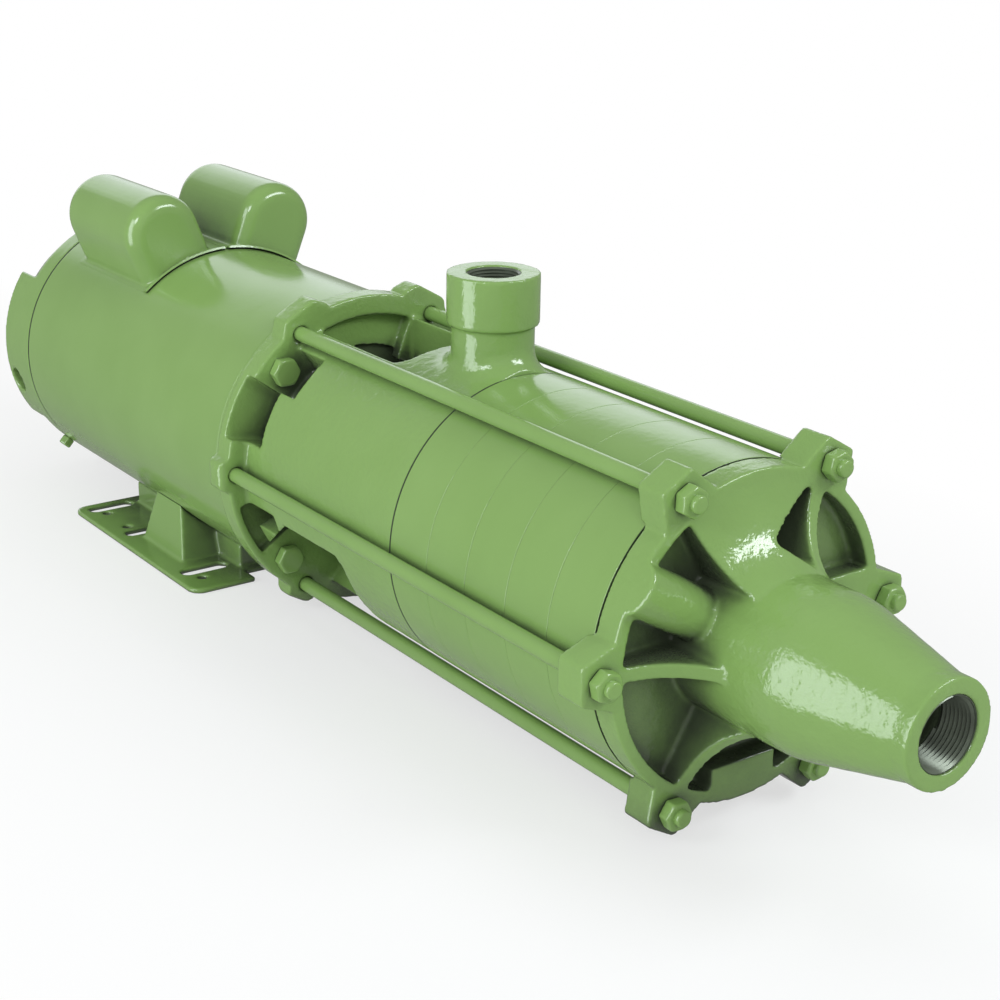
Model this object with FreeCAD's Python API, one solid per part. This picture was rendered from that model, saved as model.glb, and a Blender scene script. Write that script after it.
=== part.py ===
import FreeCAD, Part
import math
import os

# Horizontal multistage pump on its own motor. Millimetres, +Z up, +X along the
# pump axis towards the suction nozzle. The origin lies on the underside of the
# foot, midway between the front and rear foot slots, below the pump axis.

V = FreeCAD.Vector
PARTS_FOLDER = "parts"

# Pump axis and running clearances
SHAFT_HEIGHT = 88.9            # foot underside to pump axis
FIT_GAP = 0.05                 # located parts of one body
RUN_GAP = 0.3                  # turning parts beside fixed ones
CUT_OVER = 1.0                 # how far a cutting solid runs past a face

# Foot: one pressed sheet with slots across the axis
FOOT_REAR_X = -73.5
FOOT_FRONT_X = 92.5
FOOT_WIDTH = 163.0
FOOT_SHEET = 3.0
FOOT_CORNER = 9.0
FOOT_STEP_DEPTH = 13.0         # how far the middle of the front edge stands back
FOOT_STEP_WIDTH = 83.0
SLOT_FRONT_X = 63.5
SLOT_SPACING = 127.0           # front slots to rear slots
SLOT_SPACING_SHORT = 76.2      # front slots to middle slots
SLOT_GAUGE = 120.0             # slot centre to slot centre across the axis
SLOT_WIDTH = 8.7
SLOT_LENGTH = 29.0
MIDDLE_SLOT_LENGTH = 19.0
MIDDLE_SLOT_GAUGE = 128.0
FOOT_HOLE_R = 2.6
FOOT_HOLE_GAUGE = 134.0
FOOT_HOLE_OFFSETS = (11.5, -117.0, -88.2)   # from the front slots, along the axis
SADDLE_WIDTH = 84.0            # across the axis, at the sheet
SADDLE_REAR_X = -62.0
SADDLE_FRONT_X = 74.0
WING_REAR_X = -4.0
WING_FRONT_X = 50.0
WING_REACH = 67.0              # from the axis plane to the foot of the wing
WING_TOP_DROP = 52.0           # pump axis down to the wing's top
WING_SLOPE = 12.0              # how far the wing's ends lean in at the top

# Motor
MOTOR_FACE_X = 135.5           # foot centre to the mounting face
SHELL_R = 82.0
SHELL_WALL = 2.4
SHELL_LENGTH = 256.0
SHIELD_RIM = 8.0               # visible rim of the front end shield
PILOT_R = 57.15                # register on the mounting face
PILOT_LENGTH = 3.2
SHIELD_WEB = 7.5
SPIGOT_LENGTH = 6.0
SPIGOT_WALL = 4.5
BEARING_SEAT_WALL = 6.0
BOLT_PAD_LENGTH = 13.0         # pads behind the web, for the face bolts
BOLT_PAD_R = 9.0
THROUGH_PAD_LENGTH = 9.0       # and for the through bolts
THROUGH_PAD_R = 5.5
FACE_BOLT_ANGLES = [45.0 + 90.0 * i for i in range(4)]
THROUGH_BOLT_ANGLES = [28.0, 152.0, 208.0, 332.0]
FACE_BOLT_CIRCLE_R = 74.6
FACE_BOLT_R = 4.7
FACE_BOLT_ACROSS = 14.3
FACE_BOLT_HEAD = 6.4
FACE_BOLT_LENGTH = 32.0
THROUGH_BOLT_INSET = 5.4       # bolt centres to the shell's bore
THROUGH_BOLT_R = 2.4
THROUGH_BOLT_ACROSS = 8.0
THROUGH_BOLT_HEAD = 3.4
SPOT_FACE_ROOM = 1.0           # bolt head's corners to the wall of its spot face
REAR_SHIELD_DEPTH = 40.0
REAR_SHIELD_WALL = 3.6
REAR_RIM_LENGTH = 15.0
REAR_FACE_R = 71.0
LOBE_HALF_ANGLE = 35.0
LOBE_SET_BACK = 2.0            # lobe's rear face ahead of the shield's rear face
LOBE_DEPTH_R = 57.0
REAR_SEAT_WALL = 5.0
TERMINAL_OPENING = (56.0, 22.0)
TERMINAL_DROP = 45.0
TERMINAL_COVER = (76.0, 32.0)
TERMINAL_COVER_SHEET = 1.5
TERMINAL_COVER_CORNER = 5.0
TERMINAL_SCREW_GAUGE = 65.0
TERMINAL_SCREW_R = 1.5
TERMINAL_SCREW_HEAD_R = 3.2
TERMINAL_SCREW_LENGTH = 5.0
CABLE_HOLE_R = 8.0
CABLE_HOLE_EDGE = 2.0          # metal behind the cable hole
CABLE_HOLE_ANGLE = 196.0
EARTH_SCREW_ANGLE = 228.0
EARTH_SCREW_ACROSS = 8.0
EARTH_SCREW_R = 2.5
EARTH_SCREW_HEAD = 6.0
EARTH_SCREW_DEPTH = 6.0
STACK_LENGTH = 95.0            # stator and rotor laminations
STACK_CENTRE_X = 0.0
STATOR_BORE_R = 45.4
AIR_GAP = 0.4
STATOR_SLOTS = 24
SLOT_TOP_R = 66.0
SLOT_MOUTH = 2.6
SLOT_LINING = 0.4
THROUGH_BOLT_ROOM = 0.6        # bolts to the laminations
WINDING_OVERHANG = 18.0
WINDING_GAP = 2.0              # end turns to the laminations
CAGE_BARS = 12
CAGE_BAR = (5.0, 8.0)
CAGE_BAR_DEPTH = 6.0           # bar's centre inside the rotor's surface
CAGE_RING_LENGTH = 9.0
CAGE_RING_OVER = 4.6           # ring beyond the bars' centre circle
CAGE_RING_UNDER = 10.0
CAGE_BLADE = (12.0, 2.5)
FRONT_BEARING_BORE_R = 10.0
FRONT_BEARING_OUTER_R = 23.5
FRONT_BEARING_WIDTH = 14.0
FRONT_BEARING_SET_BACK = 29.5  # motor face to the bearing's rear face
REAR_BEARING_BORE_R = 8.5
REAR_BEARING_OUTER_R = 20.0
REAR_BEARING_WIDTH = 12.0
REAR_BEARING_OFFSET = 2.0      # shield's floor to the bearing
BEARING_RACE = 3.2
ROTOR_SEAT_R = 12.0
MOTOR_SHAFT_R = 11.0
DRIVE_END_R = 7.94

# Centrifugal starting switch
GOVERNOR_X = -100.0            # plane of the weight pivots
GOVERNOR_PIVOT_R = 24.0
GOVERNOR_REACH = 16.0          # plate ahead of the weight pivots
GOVERNOR_PLATE_R = 30.0
GOVERNOR_SHEET = 2.0
GOVERNOR_HUB_LENGTH = 8.0
GOVERNOR_HUB_WALL = 4.0
GOVERNOR_EAR = (20.0, 8.0)
GOVERNOR_PIN_R = 1.5
GOVERNOR_PIN_PROUD = 0.8
WEIGHT_HALF_WIDTH = 7.2
WEIGHT_MASS = (13.0, 9.0)
WEIGHT_MASS_SET_IN = 5.0       # pivot to the underside of the mass
WEIGHT_EYE_R = 3.6
WEIGHT_FINGER = 3.0
WEIGHT_FINGER_WIDTH = 6.0
FINGER_GAP = 0.7               # finger's end to the bottom of the groove
SLEEVE_BODY_R = 13.5
SLEEVE_FLANGE_R = 18.0
SLEEVE_GROOVE_HALF = 3.5
SLEEVE_FLANGE = 1.5
SLEEVE_LENGTH = 26.0
SWITCH_BOARD = (2.0, 96.0, 30.0)
SWITCH_BOARD_GAP = 4.0         # sleeve's flange to the board's edge
SWITCH_ARM_WIDTH = 8.0
SWITCH_ARM_THICK = 3.0
SWITCH_TONGUE = 1.0

# Capacitor covers on the motor's top
COVER_TILT = 21.8              # either side of the vertical
COVER_CENTRE_R = 101.0
COVER_R = 23.5
COVER_FRONT_X = -12.0
COVER_SHEET = 1.2
COVER_END_WALL = 6.0
COVER_EDGE_R = 9.0
SKIRT_FRONT_X = -9.0
SKIRT_OUTER_ANGLE = 131.0
SKIRT_INNER_ANGLE = 90.6
CAPACITOR_R = 18.2
CAPACITOR_LENGTH = 72.0
CAPACITOR_SET_BACK = 8.0       # cover's rear face to the can
CAPACITOR_FRONT_ROOM = 14.0    # can to the cover's front face, for the tags and leads
CAPACITOR_TAG = (6.0, 1.0, 6.0)
CAPACITOR_TAG_GAUGE = 11.0
COVER_TAB = 8.0
COVER_TAB_HALF_ANGLE = 6.0
COVER_SCREW_R = 2.0
COVER_SCREW_HEAD_R = 3.4
COVER_SCREW_HEAD = 2.0

# Discharge casing: bolted to the motor, carries the seal and the tie rods
CASING_R = 76.4
CASING_LENGTH = 155.6          # motor face to the first stage joint
FLANGE_R = 86.5
FLANGE_THICK = 14.0
FLANGE_PLATE = 6.5
FLANGE_RING_WALL = 11.0
FLANGE_THIN_RING = 4.5         # ring outside the lower pockets
FLANGE_PAD_R = 10.5
# Outlines of the flange's lugs: sideways from the rod towards the top, and outward from it
TOP_LUG = ((-15.0, -2.0), (-4.0, 11.0), (16.0, 11.0), (21.5, 4.0), (21.5, -2.0))
SIDE_LUG = ((-16.0, -10.0), (-7.0, 10.0), (7.0, 10.0), (16.0, -10.0))
TOP_RODS = (60.0, 120.0)
FLANGE_LUG_ROUND = 4.0
SEAL_WALL_X = 243.0
SEAL_WALL = 9.0
CHAMBER_R = 68.0
LANTERN_REAR_R = 52.0
LANTERN_R = 67.0
LANTERN_TAPER_X = 176.0
LANTERN_WIDE_X = 205.0
TOP_WINDOW_FRONT_X = 226.5
TOP_WINDOW_HALF = 28.6
LOW_WINDOW_ANGLE = 222.5
LOW_WINDOW_HALF = 35.3
LOW_WINDOW_FRONT_X = 241.0
LOW_WINDOW_STEP_X = 185.0
LOW_WINDOW_STEP = 12.0
WINDOW_ROUND = 9.0
WINDOW_DEPTH_R = 30.0
POCKET_DEPTH_R = 60.0
# Pockets in the left side of the body: front end, and angles; the right side mirrors them
BOLT_POCKET = (176.0, 124.0, 143.5)
SIDE_POCKET = (162.0, 142.5, 167.0)
LOW_POCKET = (174.5, 193.0, 203.0)
OPEN_RECESS = (143.5, 167.0)   # angles where the flange is thin out to its edge
RINGED_RECESS = (193.0, 215.0)
SHAFT_PASSAGE_ROOM = 3.0
BODY_LAP = 20.0                # full wall of the body behind the seal wall
SEAL_BOSS_WALL = 8.0
SEAL_BOSS_LENGTH = 7.0
PORT_X = 265.3
PORT_TOP = 122.2               # above the pump axis
PORT_COLLAR_R = 23.0
PORT_COLLAR_HEIGHT = 25.2
PORT_NECK_R = 20.6
PORT_FLARE_R = 12.0
PORT_THREAD_R = 13.22          # 3/4 inch pipe thread
PORT_THREAD_DEPTH = 18.0
PORT_BORE_R = 11.0
PORT_BORE_OFFSET = 1.0

# Stages
STAGES = 5
STAGE_PITCH = 30.6
STAGE_WALL = 6.0
DIAPHRAGM = 3.6
EYE_R = 26.0

# Impellers and diffusers
IMPELLER_R = 57.0
IMPELLER_WIDTH = 11.0
SHROUD = 2.5
IMPELLER_VANES = 5
IMPELLER_SWEEP = -62.0         # degrees from eye to rim, trailing the turn
IMPELLER_VANE_START_R = 21.0
HUB_SET_BACK = 1.5             # hub joint behind the stage joint
VANE_THICK = 2.2
HUB_R = 13.0
SIDE_GAP = 0.9
DIFFUSER_R = 64.0
DIFFUSER_PLATE = 2.6
DIFFUSER_VANES = 5
DIFFUSER_SWEEP = 75.0
DIFFUSER_VANE_START_R = 21.0

# Tie rods
ROD_CIRCLE_R = 82.0
ROD_R = 4.0
ROD_COUNT = 6
ROD_ANGLES = [360.0 / ROD_COUNT * i for i in range(ROD_COUNT)]
ROD_END_PROUD = 2.7
ROD_HOLE_FLOOR = 3.0           # metal behind the blind rod holes
NUT_ACROSS = 13.0
NUT_HEIGHT = 6.5
NUT_TWIST = 14.0               # each nut stopped this much further round

# Suction casing
RIM_THICK = 14.2
RIM_WALL = 5.9
FLOOR_THICK = 3.5
LUG_EDGE = 10.0                # rod centre to the lug's tip
LUG_TIP_HALF = 8.8
LUG_ROOT_HALF = 15.9
LUG_THICK = 17.0
LUG_TIP_ROUND = 2.0
LUG_HOLE_ROOM = 0.5
NOZZLE_END = 125.2             # stage joint to the nozzle's end
NOZZLE_END_R = 24.0
NOZZLE_HUB_R = 36.5
NOZZLE_SHOULDER = ((56.0, 36.5), (65.0, 35.9), (74.0, 34.0))   # ahead of the joint, radius
NOZZLE_LAND = 9.0              # straight part at the nozzle's end
SUCTION_THREAD_R = 16.62       # 1 inch pipe thread
SUCTION_THREAD_DEPTH = 20.0
SUCTION_BORE_R = 15.5
SUCTION_EYE_R = 28.0
SUCTION_EYE_DEPTH = 58.0
RIB_THICK = 7.0
FLARE_ANGLES = (60.0, 120.0)
FLARE_TOP_R = 75.0
FLARE_MIDDLE = (22.4, 49.3)    # ahead of the stage joint, and radius
FLARE_FOOT_X = 38.4            # ahead of the stage joint
# Pocket in the flare beside its right-hand rib: across the axis, and above it
FLARE_POCKET = ((31.8, 66.0), (0.5, 46.6), (17.6, 33.6))
FLARE_POCKET_ROUND = 2.0
SIDE_LAND_HALF = 17.0          # flat land below the right-hand lug, either side of the axis
BASE_PLATE_HALF = 18.6
BASE_PLATE_DROP = 57.5         # pump axis down to the plate's straight top edge
PLUG_BOSS_ANGLE = 150.0
PLUG_BOSS_R = 12.0
PLUG_BOSS_SET_BACK = 3.0       # boss axis behind the rim's front
SPIDER_OFFSET = 14.0
SPIDER_LENGTH = 14.0
SPIDER_HUB_WALL = 3.0
SPIDER_ARM = 4.0
SPIDER_ANGLES = (90.0, 210.0, 330.0)
BUSH_WALL = 3.0

# Pump shaft and mechanical seal
PUMP_SHAFT_R = 8.0
SEAL_SHAFT_R = 9.5
THREAD_END_R = 6.5
JOURNAL_R = 6.0
COUPLING_R = 15.0
COUPLING_LENGTH = 50.0
COUPLING_REAR_X = 160.0
COUPLING_SCREW_R = 2.95
COUPLING_SCREW_HOLE_R = 3.0
COUPLING_SCREW_SET_IN = 0.6
COUPLING_SCREW_SHARES = (0.15, 0.35, 0.65, 0.85)
COUPLING_SOCKET = 2.6
COUPLING_SOCKET_DEPTH = 2.4
SHAFT_END_GAP = 1.0            # motor shaft to pump shaft inside the coupling
SHAFT_NUT_LENGTH = 8.0
SHAFT_NUT_ACROSS = 17.0
SHAFT_STEP_ROOM = 2.0          # shoulders past the parts they locate
JOURNAL_PROUD = 3.0            # shaft's end past the guide bush
SLINGER_R = 24.0
SLINGER_OFFSET = 9.0           # ahead of the motor face
SLINGER_DISC = 3.0
SLINGER_LENGTH = 10.0
SLINGER_COLLAR_WALL = 5.0
SEAT_R = 16.0
SEAL_HEAD_R = 15.0
SEAT_DEPTH = 6.0
SEAT_PROUD = 1.5
SEAT_ROOM = 0.8                # seat's bore to the shaft
SEAL_HEAD_LENGTH = 14.0
SEAL_NOSE = (3.0, 2.0)         # length, and step down from the head
BELLOWS_R = 13.5
BELLOWS_WAIST = (4.0, 2.0)     # half length, and depth
KEY_WIDTH = 5.0
KEY_HEIGHT = 4.6
KEY_END_GAP = 2.0              # key end inside the stack of hubs
KEY_SIDE_GAP = 0.1

# Positions worked out from the sizes above
CASING_FRONT_X = MOTOR_FACE_X + CASING_LENGTH
SUCTION_JOINT_X = CASING_FRONT_X + STAGES * STAGE_PITCH
FLANGE_FRONT_X = MOTOR_FACE_X + FLANGE_THICK
RIM_FRONT_X = SUCTION_JOINT_X + RIM_THICK
LUG_R = ROD_CIRCLE_R + LUG_EDGE
ROD_REAR_X = MOTOR_FACE_X + ROD_HOLE_FLOOR
ROD_FRONT_X = RIM_FRONT_X + NUT_HEIGHT + ROD_END_PROUD
SHELL_FRONT_X = MOTOR_FACE_X - SHIELD_RIM
SHELL_REAR_X = SHELL_FRONT_X - SHELL_LENGTH
SHELL_BORE_R = SHELL_R - SHELL_WALL
THROUGH_BOLT_CIRCLE_R = SHELL_BORE_R - THROUGH_BOLT_INSET
STAGE_BORE_R = CASING_R - STAGE_WALL
HUBS_FRONT_X = SUCTION_JOINT_X - HUB_SET_BACK
HUBS_REAR_X = HUBS_FRONT_X - STAGES * STAGE_PITCH
KEY_REAR_X = HUBS_REAR_X + KEY_END_GAP
KEY_FRONT_X = HUBS_FRONT_X - KEY_END_GAP
FRONT_BEARING_X = MOTOR_FACE_X - FRONT_BEARING_SET_BACK
REAR_FACE_X = SHELL_REAR_X - REAR_SHIELD_DEPTH
REAR_BEARING_X = REAR_FACE_X + REAR_SHIELD_WALL + REAR_BEARING_OFFSET
SPIGOT_R = SHELL_BORE_R - FIT_GAP
LOBE_BACK_X = REAR_FACE_X + LOBE_SET_BACK
EARTH_SCREW_X = SHELL_REAR_X - REAR_RIM_LENGTH / 2
STACK_REAR_X = STACK_CENTRE_X - STACK_LENGTH / 2
STACK_FRONT_X = STACK_CENTRE_X + STACK_LENGTH / 2
ROTOR_R = STATOR_BORE_R - AIR_GAP
CAGE_BAR_R = ROTOR_R - CAGE_BAR_DEPTH
MOTOR_SHAFT_REAR_X = REAR_BEARING_X - 0.5
MOTOR_SHAFT_FRONT_X = COUPLING_REAR_X + COUPLING_LENGTH / 2 - SHAFT_END_GAP / 2
COUPLING_FRONT_X = COUPLING_REAR_X + COUPLING_LENGTH
GOVERNOR_PLATE_X = GOVERNOR_X + GOVERNOR_REACH
COVER_LENGTH = CAPACITOR_SET_BACK + CAPACITOR_LENGTH + CAPACITOR_FRONT_ROOM
COVER_REAR_X = COVER_FRONT_X - COVER_LENGTH
COVER_SCREW_X = COVER_REAR_X - COVER_TAB / 2
CHAMBER_REAR_X = SEAL_WALL_X + SEAL_WALL
SEAL_FACE_X = CHAMBER_REAR_X + SEAT_PROUD


def at_angle(x, radius, degrees):
    a = math.radians(degrees)
    return V(x, radius * math.cos(a), radius * math.sin(a))


def rod(x0, x1, radius, y=0.0, z=0.0):
    return Part.makeCylinder(radius, x1 - x0, V(x0, y, z), V(1, 0, 0))


def tube(x0, x1, outer, inner):
    bore = rod(x0 - CUT_OVER, x1 + CUT_OVER, inner)
    return rod(x0, x1, outer).cut(bore)


def turned(points):
    """Solid of revolution about the pump axis from a closed outline of (x, radius)."""
    corners = [V(x, 0, r) for x, r in points]
    face = Part.Face(Part.makePolygon(corners + corners[:1]))
    return face.revolve(V(0, 0, 0), V(1, 0, 0), 360)


def turn(shape, degrees):
    copy = shape.copy()
    copy.rotate(V(0, 0, 0), V(1, 0, 0), degrees)
    return copy


def sector(x0, x1, inner, outer, start, end):
    """Ring segment between two angles, counted from +Y towards +Z."""
    corners = [V(x0, inner, 0), V(x1, inner, 0), V(x1, outer, 0), V(x0, outer, 0)]
    face = Part.Face(Part.makePolygon(corners + corners[:1]))
    return turn(face.revolve(V(0, 0, 0), V(1, 0, 0), end - start), start)


def hexagon(x0, x1, across, y=0.0, z=0.0, twist=0.0):
    radius = across / math.sqrt(3)
    corners = [at_angle(x0, radius, twist + 60 * i) + V(0, y, z) for i in range(6)]
    face = Part.Face(Part.makePolygon(corners + corners[:1]))
    return face.extrude(V(x1 - x0, 0, 0))


def fuse(first, *others):
    return first.multiFuse(list(others)).removeSplitter() if others else first


def cut(body, *tools):
    return body.cut(Part.makeCompound(list(tools)))


def save(node, *solids):
    """Move the solids from the pump axis to the foot's frame and write the node."""
    shape = solids[0] if len(solids) == 1 else Part.makeCompound(list(solids))
    placed = shape.copy()
    placed.translate(V(0, 0, SHAFT_HEIGHT))
    placed.exportStep(os.path.join(PARTS_FOLDER, node + ".step"))


def outline(*pieces):
    """Closed face in the X-Z plane from straight pieces (2 points) and arcs (3 points)."""
    edges = []
    for piece in pieces:
        points = [V(x, 0, r) for x, r in piece]
        curve = Part.Arc(*points) if len(points) == 3 else Part.LineSegment(*points)
        edges.append(curve.toShape())
    return Part.Face(Part.Wire(edges))


def revolved(face, start=0.0, sweep=360.0):
    """Turn an X-Z outline about the pump axis, from an angle counted from +Y."""
    return turn(face.revolve(V(0, 0, 0), V(1, 0, 0), sweep), start - 90.0)


def gusset(face, thickness, degrees):
    """Flat rib of an X-Z outline, standing on the pump axis at an angle."""
    plate = face.copy()
    plate.translate(V(0, -thickness / 2, 0))
    return turn(plate.extrude(V(0, thickness, 0)), degrees - 90.0)


def radial_prism(points, inner, outer, degrees):
    """Prism with an outline in (x, sideways), reaching from inner to outer radius."""
    corners = [V(x, t, inner) for x, t in points]
    face = Part.Face(Part.makePolygon(corners + corners[:1]))
    return turn(face.extrude(V(0, 0, outer - inner)), degrees - 90.0)


def radial_rod(x, inner, outer, radius, degrees):
    return turn(Part.makeCylinder(radius, outer - inner, V(x, 0, inner)), degrees - 90.0)


def round_edges(shape, radius, picked):
    """Fillet the edges for which picked(edge) is true."""
    edges = [edge for edge in shape.Edges if picked(edge)]
    return shape.makeFillet(radius, edges)


def slot_along_y(x, y, length, width, low, high):
    """Cutter for a rounded slot across the axis."""
    reach = (length - width) / 2
    body = Part.makeBox(width, 2 * reach, high - low, V(x - width / 2, y - reach, low))
    ends = [Part.makeCylinder(width / 2, high - low, V(x, y + s * reach, low)) for s in (-1, 1)]
    return fuse(body, *ends)


# Foot


def wing_block(side, inset):
    """Sloping wing between the sheet and the shell, shrunk all round by the inset."""
    floor = -SHAFT_HEIGHT
    inner = SADDLE_WIDTH / 2 - 12.0
    slope = WING_SLOPE
    low = (WING_REAR_X + inset, WING_FRONT_X - inset, WING_REACH - inset, floor)
    high = (WING_REAR_X + slope + inset, WING_FRONT_X - slope - inset,
            WING_REACH - slope / 2 - inset, -WING_TOP_DROP - inset)
    wires = []
    for x0, x1, reach, z in (low, high):
        corners = [V(x0, inner, z), V(x1, inner, z), V(x1, reach, z), V(x0, reach, z)]
        wires.append(Part.makePolygon(corners + corners[:1]))
    block = Part.makeLoft(wires, True, True)
    return block if side > 0 else block.mirror(V(0, 0, 0), V(0, 1, 0))


def foot_base():
    floor = -SHAFT_HEIGHT
    half = FOOT_WIDTH / 2
    notch = FOOT_STEP_WIDTH / 2
    back = FOOT_FRONT_X - FOOT_STEP_DEPTH
    corners = [V(FOOT_REAR_X, -half, floor), V(FOOT_FRONT_X, -half, floor),
               V(FOOT_FRONT_X, -notch, floor), V(back, -notch, floor),
               V(back, notch, floor), V(FOOT_FRONT_X, notch, floor),
               V(FOOT_FRONT_X, half, floor), V(FOOT_REAR_X, half, floor)]
    sheet = Part.Face(Part.makePolygon(corners + corners[:1])).extrude(V(0, 0, FOOT_SHEET))
    sheet = round_edges(sheet, FOOT_CORNER, lambda edge: abs(abs(edge.CenterOfMass.y) - half) < 0.01
                        and abs(edge.CenterOfMass.z - floor - FOOT_SHEET / 2) < 0.01
                        and edge.Length < 2 * FOOT_SHEET)
    saddle_top = -math.sqrt(SHELL_R ** 2 - (SADDLE_WIDTH / 2) ** 2) - 1.6
    saddle = Part.makeBox(SADDLE_FRONT_X - SADDLE_REAR_X, SADDLE_WIDTH, saddle_top - floor,
                          V(SADDLE_REAR_X, -SADDLE_WIDTH / 2, floor))
    wings = [wing_block(side, 0.0) for side in (-1, 1)]
    shell = rod(FOOT_REAR_X, FOOT_FRONT_X, SHELL_R + FIT_GAP)
    foot = cut(fuse(sheet, saddle, *wings), shell)
    cutters = []
    low = floor - CUT_OVER
    high = floor + FOOT_SHEET + CUT_OVER
    rows = ((SLOT_FRONT_X, SLOT_GAUGE, SLOT_LENGTH),
            (SLOT_FRONT_X - SLOT_SPACING, SLOT_GAUGE, SLOT_LENGTH),
            (SLOT_FRONT_X - SLOT_SPACING_SHORT, MIDDLE_SLOT_GAUGE, MIDDLE_SLOT_LENGTH))
    for x, gauge, length in rows:
        for side in (-1, 1):
            cutters.append(slot_along_y(x, side * gauge / 2, length, SLOT_WIDTH, low, high))
    for offset in FOOT_HOLE_OFFSETS:
        for side in (-1, 1):
            centre = V(SLOT_FRONT_X + offset, side * FOOT_HOLE_GAUGE / 2, low)
            cutters.append(Part.makeCylinder(FOOT_HOLE_R, high - low, centre))
    hollow_limit = rod(FOOT_REAR_X, FOOT_FRONT_X, SHELL_R + FOOT_SHEET)
    saddle_box = Part.makeBox(WING_FRONT_X - WING_REAR_X, SADDLE_WIDTH - 2 * FOOT_SHEET, SHAFT_HEIGHT,
                              V(WING_REAR_X, -SADDLE_WIDTH / 2 + FOOT_SHEET, floor))
    for side in (-1, 1):
        cutters.append(wing_block(side, FOOT_SHEET).cut(hollow_limit).cut(saddle_box))
    return cut(foot, *cutters)


# Motor


def motor_shell():
    return tube(SHELL_REAR_X, SHELL_FRONT_X, SHELL_R, SHELL_BORE_R)


def face_bolt_places():
    return [at_angle(0, FACE_BOLT_CIRCLE_R, a) for a in FACE_BOLT_ANGLES]


def through_bolt_places():
    return [at_angle(0, THROUGH_BOLT_CIRCLE_R, a) for a in THROUGH_BOLT_ANGLES]


def front_end_shield():
    seat = FRONT_BEARING_OUTER_R + FIT_GAP
    seat_end = FRONT_BEARING_X + FRONT_BEARING_WIDTH
    web_rear = MOTOR_FACE_X - SHIELD_WEB
    spigot_rear = SHELL_FRONT_X - SPIGOT_LENGTH
    pilot_end = MOTOR_FACE_X + PILOT_LENGTH
    shield = turned([
        (FRONT_BEARING_X, seat), (seat_end, seat), (seat_end, seat - BEARING_RACE),
        (pilot_end, seat - BEARING_RACE),
        (pilot_end, PILOT_R), (MOTOR_FACE_X, PILOT_R), (MOTOR_FACE_X, SHELL_R),
        (SHELL_FRONT_X, SHELL_R), (SHELL_FRONT_X, SPIGOT_R), (spigot_rear, SPIGOT_R),
        (spigot_rear, SPIGOT_R - SPIGOT_WALL), (web_rear, SPIGOT_R - SPIGOT_WALL),
        (web_rear, seat + BEARING_SEAT_WALL), (FRONT_BEARING_X, seat + BEARING_SEAT_WALL)])
    inside = rod(SHELL_FRONT_X - BOLT_PAD_LENGTH, web_rear + CUT_OVER, SPIGOT_R)
    pads = [rod(SHELL_FRONT_X - BOLT_PAD_LENGTH, web_rear + CUT_OVER, BOLT_PAD_R, p.y, p.z).common(inside)
            for p in face_bolt_places()]
    pads += [rod(SHELL_FRONT_X - THROUGH_PAD_LENGTH, web_rear + CUT_OVER, THROUGH_PAD_R, p.y, p.z)
             .common(inside) for p in through_bolt_places()]
    hole_rear = SHELL_FRONT_X - BOLT_PAD_LENGTH - CUT_OVER
    holes = [rod(hole_rear, MOTOR_FACE_X + CUT_OVER, FACE_BOLT_R, p.y, p.z)
             for p in face_bolt_places()]
    holes += [rod(hole_rear, web_rear, THROUGH_BOLT_R, p.y, p.z) for p in through_bolt_places()]
    return cut(fuse(shield, *pads), *holes)


def hex_bolt(seat_x, facing, across, head, radius, length, place):
    """Hexagon bolt whose head stands on seat_x; facing is +1 or -1 along X."""
    ends = sorted((seat_x, seat_x + facing * head))
    cap = hexagon(ends[0], ends[1], across, place.y, place.z)
    tip = sorted((seat_x, seat_x - facing * length))
    return fuse(cap, rod(tip[0], tip[1], radius, place.y, place.z))


def flange_bolts():
    return [hex_bolt(FLANGE_FRONT_X, 1, FACE_BOLT_ACROSS, FACE_BOLT_HEAD,
                     FACE_BOLT_R, FACE_BOLT_LENGTH, p) for p in face_bolt_places()]


def motor_through_bolts():
    length = SHELL_FRONT_X - THROUGH_PAD_LENGTH / 3 - LOBE_BACK_X
    return [hex_bolt(LOBE_BACK_X, -1, THROUGH_BOLT_ACROSS, THROUGH_BOLT_HEAD,
                     THROUGH_BOLT_R, length, p) for p in through_bolt_places()]


def rear_shield_body():
    """Short rim and cone with a wide lobe at each side that keeps the shell's radius."""
    seam = SHELL_REAR_X
    cone = turned([(seam, 0), (seam, SHELL_R), (seam - REAR_RIM_LENGTH, SHELL_R),
                   (REAR_FACE_X, REAR_FACE_R), (REAR_FACE_X, 0)])
    lobes = [sector(LOBE_BACK_X, seam, LOBE_DEPTH_R, SHELL_R,
                    middle - LOBE_HALF_ANGLE, middle + LOBE_HALF_ANGLE)
             for middle in (0.0, 180.0)]
    return fuse(cone, *lobes)


def terminal_screw_places():
    return [V(0, side * TERMINAL_SCREW_GAUGE / 2, -TERMINAL_DROP) for side in (-1, 1)]


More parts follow.
